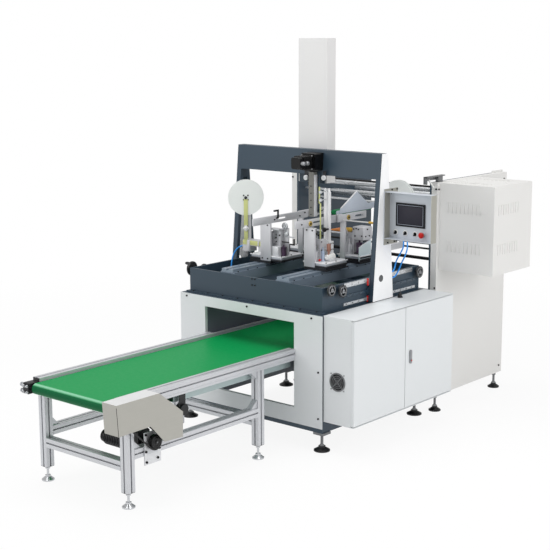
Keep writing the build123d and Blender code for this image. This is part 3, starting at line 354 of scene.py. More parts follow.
def turn_up(name, sides, steps):
    """A turned piece about Z: a disc extruded and resized through steps of height and radius."""
    height, radius = steps[0]
    bpy.ops.object.select_all(action="DESELECT")
    bpy.ops.mesh.primitive_circle_add(vertices=sides, radius=radius, fill_type="NGON",
        location=(0, 0, height))
    piece = bpy.context.object
    piece.name = name
    bpy.ops.object.transform_apply(location=True, rotation=True, scale=True)
    bpy.ops.object.mode_set(mode="EDIT")
    for next_height, next_radius in steps[1:]:
        bpy.ops.mesh.extrude_region_move(TRANSFORM_OT_translate={"value": (0, 0, next_height - height)})
        grow = next_radius / radius
        bpy.ops.transform.resize(value=(grow, grow, 1), center_override=(0, 0, next_height))
        height, radius = next_height, next_radius
    bpy.ops.object.mode_set(mode="OBJECT")
    return piece


def bar(name, low, high, edge=0.001):
    """A block between two corners, with its edges rounded."""
    low, high = Vector(low), Vector(high)
    bpy.ops.object.select_all(action="DESELECT")
    bpy.ops.mesh.primitive_cube_add(size=1, location=(low + high) / 2)
    piece = bpy.context.object
    piece.name = name
    piece.scale = high - low
    bpy.ops.object.transform_apply(location=True, rotation=True, scale=True)
    bpy.ops.object.mode_set(mode="EDIT")
    bpy.ops.mesh.select_all(action="SELECT")
    bpy.ops.mesh.bevel(offset=edge, segments=2, affect="EDGES")
    bpy.ops.object.mode_set(mode="OBJECT")
    return piece


def facing(place, direction):
    """A placement whose own Z points along a direction."""
    return Matrix.Translation(place) @ Vector(direction).to_track_quat("Z", "Y").to_matrix().to_4x4()


front_face, right_side = (0, -1, 0), (1, 0, 0)


def on_front(x, y, z):
    """A placement on a face that looks towards the conveyor."""
    return facing(spot(x, y, z), front_face)


def on_right(x, y, z):
    """A placement on a face that looks towards the cabinet."""
    return facing(spot(x, y, z), right_side)


def on_top(x, y, z):
    """A placement on a face that looks up."""
    return facing(spot(x, y, z), (0, 0, 1))


def slab(name, low, high, edge=0.001):
    """A block between two corners given as places of the model."""
    return bar(name, spot(*low), spot(*high), edge)


def unite(name, *pieces):
    """Pieces joined into one under a name."""
    bpy.context.view_layer.update()
    bpy.ops.object.select_all(action="DESELECT")
    for piece in pieces:
        piece.select_set(True)
    bpy.context.view_layer.objects.active = pieces[0]
    if len(pieces) > 1:
        bpy.ops.object.join()
    pieces[0].name = name
    bpy.ops.object.transform_apply(location=True, rotation=True, scale=True)
    return pieces[0]


def repeat(piece, places):
    """The piece at each place, every copy with its own mesh, joined into one."""
    copies = [piece]
    for place in places[1:]:
        twin = piece.copy()
        twin.data = piece.data.copy()
        bpy.context.scene.collection.objects.link(twin)
        twin.matrix_world = place
        copies.append(twin)
    piece.matrix_world = places[0]
    return unite(piece.name, *copies)


def settle(piece, material, body):
    """Outward normals, smooth shading between sharp edges, a finish, and the body that the piece rides on."""
    unite(piece.name, piece)
    bpy.ops.object.mode_set(mode="EDIT")
    bpy.ops.mesh.select_all(action="SELECT")
    bpy.ops.mesh.normals_make_consistent(inside=False)
    bpy.ops.object.mode_set(mode="OBJECT")
    bpy.ops.object.shade_smooth_by_angle(angle=radians(32))
    piece.data.materials.clear()
    piece.data.materials.append(material)
    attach(piece, body)


def turned(name, sides, steps, places, material, body):
    """A turned piece at each place, joined into one, with its finish."""
    settle(repeat(turn_up(name, sides, steps), places), material, body)


def cap_screws(name, radius, places, body, material=screw_black):
    """Socket cap screws at places, with a chamfered head and a sunk socket."""
    steps = [(0, radius), (radius * 0.9, radius), (radius * 1.1, radius * 0.85),
        (radius * 1.1, radius * 0.5), (radius * 0.5, radius * 0.5)]
    turned(name, 16, steps, places, material, body)


panel_screws = [(0.065, 0.909), (0.640, 0.907), (1.208, 0.905), (1.267, 0.547), (0.033, 0.547),
    (1.267, 0.230), (0.033, 0.230)]
panel_places = [on_front(x, 0, z) for x, z in panel_screws]
panel_places += [facing(spot(0, y, z), (-1, 0, 0)) for y in (0.045, 0.590, 1.130) for z in (0.905, 0.230)]
cap_screws("panel_screws", 0.0065, panel_places, "machine")
# Painted light: a sheet in a lighter slate than the frame lines the tunnel's left wall. It stands in for
# light reaching that wall, which otherwise renders in deep shade.
settle(slab("tunnel_lining", (0.2421, 0.030, 0.196), (0.2441, 1.168, 0.904), 0.0006),
    powder("lining_paint", tint(98, 104, 114), 0.5, 0.05, 0.10), "machine")
turned("foot_nuts", 6, [(0.0335, 0.013), (0.035, 0.0155), (0.044, 0.0155), (0.0455, 0.013)],
    [Matrix.Translation(spot(x, y, 0)) for x, y in ((0.037, 0.045), (0.037, 1.130), (1.263, 0.045),
    (1.263, 1.130), (0.025, 1.305), (0.025, 2.139), (1.325, 1.305), (1.325, 2.139))],
    metal("nut_zinc", tint(150, 152, 154), 2.0, 0.3, 0.6), "machine")

# The electrical cabinet on the right: a folded white box with two pan doors and a swing lock.
# Behind the wire guard a black fan sits in its housing, screwed to the front sheet from outside.
guard_wire = metal("guard_wire", tint(120, 122, 124), 0.0, 0.35, 0.5)
lock_metal = metal("lock_metal", tint(150, 152, 155), 2.0, 0.3, 0.7)
black_plastic = moulded("black_plastic", tint(24, 25, 28))
red_tone = tint(206, 34, 26)
red_plastic = moulded("red_plastic", red_tone, 0.3)
dress(white_paint, "cabinet_shell", "door_front", "door_rear")
dress(lock_metal, "door_lock")
dress(guard_wire, "fan_grille")
fan_low, fan_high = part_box("fan_grille")
fan_centre = (Vector(fan_low) + Vector(fan_high)) / 2
fan_back = fan_high[1] + 0.030
turned("fan_housing", 48, [(0, 0.059), (0.025, 0.059), (0.025, 0.055), (0.002, 0.055)],
    [facing((fan_centre.x, fan_back, fan_centre.z), front_face)], black_plastic, "machine")
bpy.ops.object.select_all(action="DESELECT")
bpy.ops.mesh.primitive_cube_add(size=1, location=(0.034, 0, 0.014), rotation=(radians(32), 0, 0),
    scale=(0.034, 0.024, 0.0016))
blade = bpy.context.object
bpy.ops.object.transform_apply(location=True, rotation=True, scale=True)
blade = repeat(blade, [Matrix.Rotation(2 * pi * step / 7, 4, "Z") for step in range(7)])
hub = turn_up("fan_hub", 32, [(0.002, 0.019), (0.020, 0.019), (0.023, 0.016), (0.023, 0.006), (0.021, 0.006)])
rotor = unite("fan_rotor", hub, blade)
rotor.matrix_world = facing((fan_centre.x, fan_back, fan_centre.z), front_face)
settle(rotor, black_metal, "machine")
fan_screw = 0.0525
cap_screws("fan_screws", 0.0042,
    [facing((fan_centre.x + fan_screw * a, fan_high[1], fan_centre.z + fan_screw * b), front_face)
    for a in (-1, 1) for b in (-1, 1)], "machine", lock_metal)
lock_low, lock_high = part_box("door_lock")
turned("lock_insert", 20, [(0, 0.0055), (0.0012, 0.0055), (0.0016, 0.0045), (0.0016, 0.0015),
    (0.0008, 0.0015)], [facing((lock_high[0], (lock_low[1] + lock_high[1]) / 2, 0.550), (1, 0, 0))],
    red_plastic, "rear_door")

# A cable gland sits on the cabinet's lid behind the leg.
# It has a hexagon body, screwed into the sheet, and a ribbed nut that grips the cable.
lid_gland = unite("cabinet_gland", turn_up("body", 6, [(0, 0.018), (0.010, 0.018), (0.012, 0.015)]),
    turn_up("nut", 24, [(0.010, 0.013), (0.024, 0.013), (0.030, 0.009), (0.036, 0.008), (0.036, 0.005),
    (0.030, 0.005)]))
lid_gland.matrix_world = Matrix.Translation(spot(1.345, 0.810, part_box("cabinet_shell")[1][2]))
settle(lid_gland, black_plastic, "machine")

# The tray: slate plates bolted on the base, with ground rails for the gantry along both sides.
# Black socket screws hold the plates, and plugs close the sunk screws of the rails.
steel_tone = tint(205, 208, 211)
rail_steel = metal("rail_steel", steel_tone, 1.0, 0.25, 0.6)
ground_steel = metal("ground_steel", tint(196, 201, 208), 1.0, 0.3, 0.4)
beam_paint = metal("beam_paint", tint(128, 142, 156), 1.0, 0.3, 0.3)
dress(slate_paint, "tray_plates")
dress(beam_paint, "slide_beams")
paint_line = 0.985
low_rail_paint = metal("low_rail", steel_tone, 1.0, 0.25, 0.6)
tree = low_rail_paint.node_tree
height = along(tree, "ShaderNodeTexCoord", "Object", 2)
upper = maths(tree, "GREATER_THAN", height, paint_line)
two_tones(tree, upper.outputs[0], steel_tone, slate_tone)
bare = wired(tree, "ShaderNodeMapRange", {0: upper.outputs[0], 3: 0.6, 4: 0.0})
tree.links.new(bare.outputs[0], tree.nodes["Principled BSDF"].inputs["Metallic"])
dress(low_rail_paint, "side_rails")
rails = [slab("rail", (low, 0.284, 1.069), (high, 1.080, 1.099), 0.001)
    for low, high in ((0.0403, 0.0452), (1.2548, 1.2597))]
settle(unite("top_rails", *rails), rail_steel, "machine")
tray_face, flange_top = 0.055, 0.9383
tray_screws = [on_front(x, tray_face, z) for x in (0.640, 0.666) for z in (1.092, 1.049)]
tray_screws += [on_top(0.085 + 0.141 * step, 0.046, flange_top) for step in range(9)]
cap_screws("tray_screws", 0.0052, tray_screws, "machine")
rail_end, top_rail_face = 1.2630, 1.2597
plugs = []
for step in range(12):
    for z, y, out in ((0.957, 0.300 + 0.070 * step, rail_end), (1.084, 0.300 + 0.070 * step, top_rail_face)):
        plugs.append(on_right(out, y, z))
        plugs.append(facing(spot(base_width - out, y, z), (-1, 0, 0)))
turned("rail_plugs", 14, [(-0.002, 0.0048), (0.0003, 0.0048), (0.0003, 0.003), (-0.0006, 0.003)], plugs,
    screw_black, "machine")

# The slide beams carry the tape heads. Their shoulders are held down by a row of screws each side,
# and the hardened tops are fixed from above through holes closed with plugs.
beam_middle, beam_shoulder, beam_top = (0.396, 0.904), 1.108, 1.130
rows = [(x + way * 0.059, 0.120 + 0.1 * step) for x in beam_middle for way in (-1, 1) for step in range(11)]
cap_screws("beam_screws", 0.0045, [on_top(x, y, beam_shoulder) for x, y in rows], "machine")
rows = [(x + way * 0.032, 0.100 + 0.06 * step) for x in beam_middle for way in (-1, 1) for step in range(18)]
turned("beam_plugs", 12, [(-0.002, 0.0048), (0.0002, 0.0048), (0.0002, 0.003), (-0.0006, 0.003)],
    [on_top(x, y, beam_top) for x, y in rows], screw_black, "machine")

# The tape heads stand on a stack of slide plates: a black lower plate, a ground middle one and a pale
# top plate with rounded corners. Screws with sunk sockets hold each stack down at its corners.
grey_metal = metal("grey_metal", tint(204, 205, 209), 2.0, 0.36, 0.25)
pale_metal = metal("pale_metal", tint(222, 224, 227), 1.0, 0.34, 0.2)
dark_metal = metal("dark_metal", tint(44, 46, 50), 1.0, 0.35, 0.5)
dress(dark_metal, "front_carriages", "rear_carriages")
dress(grey_metal, "front_presses", "rear_presses", "tape_guides")
plate_levels = (1.1488, 1.163, 1.178, 1.186)
heads = [("front_heads", 0.415, 0.665, 0.296, 0.600), ("front_heads", 0.415, 0.665, 0.790, 1.004),
    ("rear_heads", 0.800, 1.050, 0.296, 0.510), ("rear_heads", 0.800, 1.050, 0.790, 1.004)]
for index, (body, y0, y1, x0, x1) in enumerate(heads):
    layers = []
    for level, inset in enumerate((0.004, 0.010, 0.002)):
        low = spot(x0 + inset, y0 + inset, plate_levels[level])
        high = spot(x1 - inset, y1 - inset, plate_levels[level + 1] - 0.0006)
        layers.append(bar("slide_plate_%d_%d" % (index, level), low, high, 0.0018))
    settle(unite("lower_plates_%d" % index, layers[0]), dark_metal, body)
    settle(unite("middle_plates_%d" % index, layers[1]), ground_steel, body)
    settle(unite("top_plates_%d" % index, layers[2]), pale_metal, body)
    corners = [on_top(x, y, plate_levels[3]) for x in (x0 + 0.014, x1 - 0.014)
        for y in (y0 + 0.014, (y0 + y1) / 2, y1 - 0.014)]
    cap_screws("plate_screws_%d" % index, 0.0045, corners, body)

# The horns: a flat upright with a rib behind it carries a long arm of ground flat bar.
# Each arm has one short slot for its setting screw, and screws with black heads.
slot_length, slot_height = 0.095, 0.014


def slotted_arm(name, low, high, slot_start):
    """Flat bar on edge with one slot that has round ends."""
    arm = bar(name, low, high, 0.0012)
    radius = slot_height / 2
    cutter = turn_up("slot_cutter", 24, [(0, radius), (0.03, radius)])
    cutter.rotation_euler.z = pi / 24
    unite("slot_cutter", cutter)
    bpy.ops.object.mode_set(mode="EDIT")
    shape = bmesh.from_edit_mesh(cutter.data)
    for vertex in shape.verts:
        vertex.select = vertex.co.y > 0
    bmesh.update_edit_mesh(cutter.data)
    bpy.ops.transform.translate(value=(0, slot_length - slot_height, 0))
    bpy.ops.object.mode_set(mode="OBJECT")
    middle = (low.z + high.z) / 2
    begin = (low.x - 0.008, slot_start + radius, middle)
    cutter.matrix_world = Matrix.Translation(begin) @ Matrix.Rotation(pi / 2, 4, "Y")
    bpy.context.view_layer.update()
    carve = arm.modifiers.new("carve", "BOOLEAN")
    carve.operation = "DIFFERENCE"
    carve.object = cutter
    bpy.context.view_layer.objects.active = arm
    bpy.ops.object.modifier_apply(modifier=carve.name)
    bpy.data.objects.remove(cutter, do_unlink=True)
    return arm


def horn_pair(name, node, body, post, sheet, arm, slot_start, trim):
    """Both horns of a pair, from (x0, x1, y0) of a post and (x0, x1, y0, y1) of an arm."""
    pieces = []
    for side in (0, 1):
        x0, x1 = (base_width - post[1], base_width - post[0]) if side else post[:2]
        rib = (x0 + x1) / 2
        a0, a1 = (base_width - arm[1], base_width - arm[0]) if side else arm[:2]
        pieces.append(slab("post", (x0, post[2], plate_levels[0]), (x1, post[2] + sheet, 1.4205)))
        pieces.append(slab("rib", (rib - 0.007, post[2] + sheet, plate_levels[0]),
            (rib + 0.007, post[2] + 0.034, 1.4205)))
        start = spot(0, slot_start, 0).y
        pieces.append(slotted_arm("arm", spot(a0, arm[2] + trim * side, 1.420), spot(a1, arm[3], 1.472),
            start))
    horns = unite(name, *pieces)
    settle(horns, grey_metal, body)
    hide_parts(node)


horn_pair("front_horn_plates", "front_horns", "front_heads", (0.401, 0.496, 0.415), 0.014,
    (0.482, 0.496, 0.235, 0.835), 0.499, 0.075)
horn_pair("rear_horn_plates", "rear_horns", "rear_heads", (0.432, 0.477, 0.800), 0.014,
    (0.463, 0.477, 0.762, 1.095), 0.960, 0.0)
arm_places = [on_right(0.496, y, z) for y, z in ((0.459, 1.443), (0.484, 1.452), (0.742, 1.440),
    (0.800, 1.458))]
arm_places += [on_front(0.470, 0.415, 1.406), on_front(0.470, 0.415, 1.165), on_front(0.420, 0.415, 1.165),
    on_front(0.830, 0.415, 1.406), on_front(0.880, 0.415, 1.406), on_right(0.818, 0.372, 1.446)]
cap_screws("horn_screws", 0.0055, arm_places, "front_heads")
finger = unite("arm_finger", slab("top", (0.4963, 0.449, 1.500), (0.5053, 0.500, 1.512)),
    slab("drop", (0.4963, 0.488, 1.448), (0.5053, 0.500, 1.512)))
settle(finger, dark_metal, "front_heads")

# Brass spring washers under the clamp screws of the two right arms.
# Each is a turned ring, dished towards the arm, with a dark screw in its middle.
brass = metal("brass", tint(196, 170, 96), 0.0, 0.28, 0.7)
for name, body, places in (("front_washer", "front_heads", [(0.818, 0.468, 1.442)]),
        ("rear_washer", "rear_heads", [(0.837, 0.880, 1.444)])):
    turned(name, 32, [(0, 0.019), (0.004, 0.019), (0.006, 0.016), (0.006, 0.009), (0.002, 0.009)],
        [on_right(*place) for place in places], brass, body)
    cap_screws(name + "_screw", 0.006, [facing(spot(*place) + Vector((0.002, 0, 0)), right_side)
        for place in places], body)

# The left front press: a bracket with a ledge and four screws, an aluminium valve block, a guide wheel over
# a ball bearing on a slim column, and a dark solenoid at its foot. All of it is bolted to the top plate.
table = plate_levels[3]
settle(slab("valve_block", (0.494, 0.431, table), (0.552, 0.474, 1.256), 0.003), pale_metal, "front_heads")
bracket = unite("press_bracket", slab("web", (0.470, 0.4745, 1.240), (0.540, 0.482, 1.372)),
    slab("ledge", (0.466, 0.440, 1.372), (0.552, 0.486, 1.382)), slab("cheek", (0.532, 0.482, table),
    (0.540, 0.520, 1.372)))
settle(bracket, grey_metal, "front_heads")
cap_screws("bracket_screws", 0.0058, [on_front(x, 0.4745, z) for x, z in ((0.498, 1.334), (0.500, 1.312),
    (0.500, 1.284), (0.533, 1.332))], "front_heads")
column = unite("wheel_column", slab("column", (0.548, 0.506, table), (0.588, 0.516, 1.385), 0.002),
    slab("arm", (0.590, 0.500, 1.318), (0.640, 0.510, 1.328), 0.002))
settle(column, grey_metal, "front_heads")
settle(slab("limit_bar", (0.540, 0.488, 1.281), (0.602, 0.500, 1.287), 0.001), screw_black, "front_heads")
wheel_steps = [(0, 0.010), (0.001, 0.024), (0.004, 0.026), (0.010, 0.026), (0.013, 0.024), (0.013, 0.016),
    (0.009, 0.015), (0.009, 0.008), (0.017, 0.007), (0.017, 0.003)]
turned("guide_wheel", 40, wheel_steps, [on_front(0.560, 0.506, 1.398)], rail_steel, "front_heads")
turned("ball_bearing", 36, [(0, 0.019), (0.010, 0.019), (0.011, 0.016), (0.009, 0.015), (0.011, 0.011),
    (0.011, 0.007), (0.016, 0.006), (0.016, 0.003)], [on_front(0.570, 0.506, 1.342)], rail_steel,
    "front_heads")
plum = moulded("plum_lacquer", tint(62, 36, 68), 0.3, 0.12)


def solenoid(name, place, body, height=0.062, radius=0.017):
    """A wound coil between two end plates, with its plunger."""
    steps = [(0, radius + 0.004), (0.006, radius + 0.004), (0.006, radius)]
    for turn in range(6):
        start = 0.006 + turn * (height - 0.012) / 6
        steps += [(start + 0.003, radius + 0.002), (start + (height - 0.012) / 6, radius)]
    steps += [(height - 0.006, radius + 0.004), (height, radius + 0.004), (height, 0.005),
        (height + 0.018, 0.005)]
    turned(name, 28, steps, [Matrix.Translation(place)], plum, body)


solenoid("left_solenoid", spot(0.562, 0.484, table), "front_heads")
hook = unite("cable_hook", slab("foot", (0.478, 0.636, 1.236), (0.532, 0.646, 1.246), 0.002),
    slab("rise", (0.522, 0.636, 1.236), (0.532, 0.646, 1.284), 0.002), slab("stem", (0.478, 0.636, table),
    (0.488, 0.646, 1.246), 0.002))
settle(hook, screw_black, "front_heads")

# The right front head guides the tape: a thin paper-backed tape strip runs down in front of the two pointed
# bars, from a pin at the top past a black wheel. Below lie a drive motor, an air cylinder and a copper block.
tape_paper = moulded("tape_paper", tint(206, 211, 140), 0.5, 0.1, grain=700.0)
white_plastic = moulded("white_plastic", tint(232, 233, 232), 0.35)
copper = metal("copper_bar", tint(176, 128, 110), 2.0, 0.35, 0.4)
dress(moulded("guide_white", tint(246, 247, 250), 0.35), "tape_guides")
strip = unite("tape_strip", slab("upper", (0.819, 0.559, 1.575), (0.831, 0.5602, 1.692), 0.0004),
    slab("lower", (0.829, 0.559, 1.230), (0.841, 0.5602, 1.577), 0.0004))
settle(strip, tape_paper, "front_heads")
pin_steps = [(0, 0.004), (0.052, 0.004), (0.052, 0.012), (0.058, 0.012), (0.060, 0.010), (0.060, 0.004)]
turned("strip_pins", 24, pin_steps, [on_front(0.838, 0.612, 1.600), on_front(0.836, 0.612, 1.655)],
    rail_steel, "front_heads")
turned("black_wheel", 32, [(0, 0.007), (0.036, 0.007), (0.036, 0.015), (0.038, 0.017), (0.048, 0.017),
    (0.050, 0.014), (0.050, 0.008), (0.056, 0.007), (0.056, 0.004)], [on_front(0.862, 0.612, 1.392)],
    screw_black, "front_heads")
turned("head_motor", 36, [(0, 0.020), (0.002, 0.024), (0.050, 0.024), (0.052, 0.021), (0.056, 0.021),
    (0.056, 0.018), (0.078, 0.018), (0.080, 0.016), (0.080, 0.005), (0.090, 0.005)],
    [on_front(0.938, 0.575, table + 0.027)], white_plastic, "front_heads")
settle(slab("motor_saddle", (0.914, 0.512, table), (0.962, 0.572, table + 0.018), 0.003), pale_metal,
    "front_heads")
turned("air_cylinder", 32, [(0, 0.013), (0.008, 0.013), (0.008, 0.011), (0.012, 0.0115), (0.056, 0.0115),
    (0.060, 0.011), (0.060, 0.013), (0.070, 0.013), (0.072, 0.008), (0.072, 0.004), (0.098, 0.004)],
    [Matrix.Translation(spot(0.912, 0.492, table))], metal("anodised_blue", tint(176, 192, 214), 2.0, 0.3,
    0.3), "front_heads")
block = slab("copper_block", (0.928, 0.512, 1.252), (0.950, 0.534, 1.306), 0.002)
post = slab("copper_post", (0.933, 0.516, table + 0.02), (0.945, 0.530, 1.254), 0.001)
rods = [turn_up("rod", 16, [(0, 0.0035), (0.214, 0.0035), (0.216, 0.0025)]) for y in (0.500, 0.560)]
for rod, y in zip(rods, (0.500, 0.560)):
    rod.matrix_world = Matrix.Translation(spot(0.797, y, table))
settle(unite("guide_rods", *rods), guard_wire, "front_heads")
clamps = [slab("clamp", (0.790, y - 0.008, z), (0.8045, y + 0.008, z + 0.016), 0.002)
    for y, z in ((0.500, 1.232), (0.560, 1.262), (0.500, 1.300), (0.560, 1.350), (0.500, 1.370))]
settle(unite("rod_clamps", *clamps), screw_black, "front_heads")
ties = [slab("tie", (0.792, 0.506, z), (0.802, 0.556, z + 0.008), 0.001) for z in (1.215, 1.290, 1.392)]
settle(unite("rod_ties", *ties), white_plastic, "front_heads")
settle(unite("copper_block", block, post), copper, "front_heads")
turned("red_stud", 24, [(0, 0.004), (0.010, 0.004), (0.010, 0.008), (0.018, 0.0085), (0.021, 0.006)],
    [on_front(0.911, 0.470, table + 0.011)], red_plastic, "front_heads")
cap_screws("guide_screws", 0.0042, [on_front(x, 0.600, z) for x in (0.823, 0.882)
    for z in (1.215, 1.250, 1.290)] + [on_right(0.890, y, z) for y in (0.608, 0.630)
    for z in (1.205, 1.250, 1.292)], "front_heads")
cap_screws("press_screws_right", 0.0045, [on_right(0.902, y, z) for y, z in ((0.488, 1.320), (0.488, 1.262),
    (0.505, 1.215), (0.560, 1.215))], "front_heads")


def coil_spring(name, place, radius, pitch, turns, body):
    """A tension spring of round wire, wound by the screw modifier."""
    bpy.ops.object.select_all(action="DESELECT")
    bpy.ops.mesh.primitive_circle_add(vertices=8, radius=0.0012, fill_type="NOTHING",
        rotation=(pi / 2, 0, 0), location=(radius, 0, 0))
    wire = bpy.context.object
    wire.name = name
    bpy.ops.object.transform_apply(location=True, rotation=True, scale=True)
    wind = wire.modifiers.new("wind", "SCREW")
    wind.angle = 2 * pi
    wind.screw_offset = pitch
    wind.iterations = turns
    wind.steps = wind.render_steps = 20
    wind.axis = "Z"
    bpy.ops.object.modifier_apply(modifier=wind.name)
    bpy.ops.object.mode_set(mode="EDIT")
    bpy.ops.mesh.select_all(action="SELECT")
    bpy.ops.mesh.remove_doubles(threshold=0.00002)
    bpy.ops.mesh.fill_holes(sides=0)
    bpy.ops.object.mode_set(mode="OBJECT")
    wire.matrix_world = Matrix.Translation(place)
    settle(wire, rail_steel, body)


coil_spring("left_spring", spot(0.508, 0.500, table + 0.002), 0.007, 0.0036, 18, "front_heads")
coil_spring("right_spring", spot(0.884, 0.470, table + 0.002), 0.007, 0.0036, 22, "front_heads")

# The right rear head: a closed gear cover with screws on both faces over a dark solenoid, a sheet fin on the
# outer edge, an orange box nozzle with a yellow collar, and a lever with a yellow grip on its arm.
cover = slab("gear_cover", (0.886, 0.862, 1.290), (0.986, 0.968, 1.384), 0.006)
legs = [slab("cover_leg", (x, 0.930, table), (x + 0.016, 0.946, 1.292), 0.001) for x in (0.900, 0.958)]
settle(unite("gear_cover", cover, *legs), grey_metal, "rear_heads")
cap_screws("cover_screws", 0.0052, [on_front(x, 0.862, z) for x, z in ((0.900, 1.368), (0.922, 1.372),
    (0.942, 1.368), (0.912, 1.318), (0.972, 1.322))]
    + [on_right(0.986, y, z) for y, z in ((0.886, 1.318), (0.930, 1.318), (0.905, 1.368))], "rear_heads")
solenoid("right_solenoid", spot(0.934, 0.884, table + 0.010), "rear_heads", 0.072, 0.019)
settle(slab("solenoid_base", (0.904, 0.860, table), (0.962, 0.910, table + 0.011), 0.002), dark_metal,
    "rear_heads")
teal_sheet = metal("teal_sheet", tint(204, 219, 223), 1.0, 0.35, 0.1)
fin = slab("sheet_fin", (0.990, 0.800, plate_levels[0]), (0.994, 0.945, 1.292), 0.0008)
bpy.ops.object.mode_set(mode="EDIT")
bpy.ops.mesh.select_all(action="SELECT")
bpy.ops.mesh.bisect(plane_co=spot(0.992, 0.800, 1.246), plane_no=(0, -0.302, 0.953), use_fill=True,
    clear_outer=True)
bpy.ops.object.mode_set(mode="OBJECT")
settle(fin, teal_sheet, "rear_heads")
fold = bar("fin_fold", (-0.004, 0, -0.0006), (0.0045, 0.150, 0.0014), 0.0005)
fold.matrix_world = Matrix.Translation(spot(0.990, 0.801, 1.2465)) @ Matrix.Rotation(radians(17.6), 4, "X")
settle(fold, pale_metal, "rear_heads")
orange = moulded("orange_plastic", tint(232, 140, 66), 0.4)
yellow = moulded("yellow_plastic", tint(224, 180, 70), 0.4)
turned("box_nozzle", 32, [(0, 0.012), (0.004, 0.016), (0.020, 0.016), (0.118, 0.004), (0.124, 0.002)],
    [facing(spot(0.795, 0.875, 1.352), (-1, 0, -0.10))], orange, "rear_heads")
turned("nozzle_collar", 32, [(0, 0.008), (0.008, 0.016), (0.058, 0.016), (0.062, 0.012), (0.082, 0.012)],
    [facing(spot(0.874, 0.875, 1.358), (-1, 0, -0.07))], yellow, "rear_heads")
turned("lever_rod", 20, [(0, 0.005), (0.228, 0.005), (0.230, 0.004)],
    [facing(spot(0.837, 0.817, 1.430), (1, 0, 0.015))], white_plastic, "rear_heads")
turned("lever_grip", 24, [(0, 0.005), (0.003, 0.008), (0.012, 0.009), (0.040, 0.0075), (0.050, 0.009),
    (0.053, 0.006)], [facing(spot(1.064, 0.817, 1.4334), (1, 0, 0.015))], yellow, "rear_heads")
coil_spring("rear_spring", spot(0.890, 0.850, table + 0.002), 0.007, 0.0036, 20, "rear_heads")

# The tape reels are white plastic discs, pinned on slim stands. The front one feeds a yellowish tape that
# hangs from the hub to a guide roller, and then runs along the stand's arm to the left head.
reel_plastic = moulded("reel_plastic", tint(236, 240, 238), 0.35, 0.02)
dress(reel_plastic, "tape_reel", "rear_reel")
dress(grey_metal, "reel_stand", "rear_reel_stand")
reel_face = Vector((0.615661, -0.788011, 0))
reel_side = Vector((0.788011, 0.615661, 0))
reel_middle = spot(0.180, 0.510, 1.573)
reel_front = reel_middle + reel_face * 0.015
holes = [facing(reel_front + reel_side * 0.022 * cos(a) + Vector((0, 0, 0.022 * sin(a))), reel_face)
    for a in (radians(45), radians(135), radians(225), radians(315))]
turned("reel_screws", 20, [(-0.0005, 0.006), (0.0012, 0.006), (0.0018, 0.005), (0.0018, 0.0025),
    (0.001, 0.0025)], holes, screw_black, "reel")
turned("reel_hub_cap", 32, [(0, 0.011), (0.003, 0.011), (0.004, 0.009), (0.004, 0.004), (0.002, 0.004)],
    [facing(reel_middle + reel_face * 0.021, reel_face)], dark_metal, "front_heads")
tape_front = reel_middle + reel_face * 0.019
hang = bar("hanging_tape", (-0.015, -0.0004, -0.205), (0.015, 0.0004, -0.012), 0.0002)
tape_turn = Matrix.Rotation(radians(38), 4, "Z")
hang.matrix_world = Matrix.Translation(tape_front) @ tape_turn
lower = bar("lower_tape", (-0.014, -0.0004, -0.312), (0.014, 0.0004, -0.240), 0.0002)
lower.matrix_world = hang.matrix_world
settle(unite("hanging_tape", hang, lower), tape_paper, "front_heads")
guide = bar("roller_plate", (-0.018, -0.003, -0.018), (0.018, 0.003, 0.018), 0.002)
roller_place = tape_front + Vector((0, 0, -0.225))
guide.matrix_world = Matrix.Translation(roller_place) @ tape_turn @ Matrix.Rotation(pi / 4, 4, "Y")
roller = turn_up("tape_roller", 28, [(-0.034, 0.006), (0.003, 0.006), (0.003, 0.010), (0.010, 0.010),
    (0.012, 0.008), (0.012, 0.003)])
roller.matrix_world = facing(roller_place, reel_face)
settle(unite("tape_roller", guide, roller), white_plastic, "front_heads")
settle(slab("arm_tape", (0.152, 0.5036, 1.226), (0.332, 0.5046, 1.260), 0.0003), tape_paper, "front_heads")
clamp = unite("arm_clamp", slab("clamp", (0.196, 0.498, 1.180), (0.222, 0.5045, 1.264), 0.001),
    slab("clip", (0.300, 0.498, 1.218), (0.312, 0.5045, 1.266), 0.001))
settle(clamp, grey_metal, "front_heads")

# The gantry: a painted box beam on two leaning legs under white covers, running on red-capped blocks.
# A tall white tower stands on it, and a servo motor with a gearbox drives the ram down its guide plate.
tower_paint = powder("tower_paint", tint(220, 220, 220), 0.42, 0.012, 0.0)
ram_steel = metal("ram_steel", tint(122, 122, 118), 2.0, 0.4, 0.4)
servo_black = moulded("servo_black", tint(8, 8, 10), 0.3, specular=0.3)
dress(slate_paint, "gantry_frame")
dress(powder("cover_paint", tint(247, 248, 249), 0.4, 0.012, 0.0), "gantry_covers")
dress(tower_paint, "tower_cover")
dress(ground_steel, "bearing_blocks")
cap_paint = moulded("cap_red", red_tone, 0.3)
tree = cap_paint.node_tree
height = along(tree, "ShaderNodeTexCoord", "Object", 2)
upper = maths(tree, "GREATER_THAN", height, paint_line)
two_tones(tree, upper.outputs[0], red_tone, slate_tone)
dress(cap_paint, "bearing_caps")
seals = [slab("seal", (low, 0.5347, 1.048), (high, 0.5527, 1.098), 0.0015)
    for low, high in ((0.0350, 0.0395), (1.2605, 1.2650))]
settle(unite("upper_seals", *seals), red_plastic, "gantry")
blocks = [slab("block", (low, 0.5527, 1.050), (high, 0.752, 1.096), 0.001)
    for low, high in ((0.0350, 0.0395), (1.2605, 1.2650))]
settle(unite("upper_blocks", *blocks), ground_steel, "gantry")
dress(ram_steel, "ram_column")
dress(servo_black, "servo_motor")
turned("cover_grommet", 40, [(-0.004, 0.0208), (0.0, 0.0208), (0.0, 0.024), (0.0015, 0.0235), (0.002, 0.020),
    (0.0005, 0.0185)], [on_right(1.307, 0.6338, 1.090)], moulded("grommet_grey", tint(84, 86, 88), 0.5),
    "gantry")
cap_low, cap_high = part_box("bearing_caps")
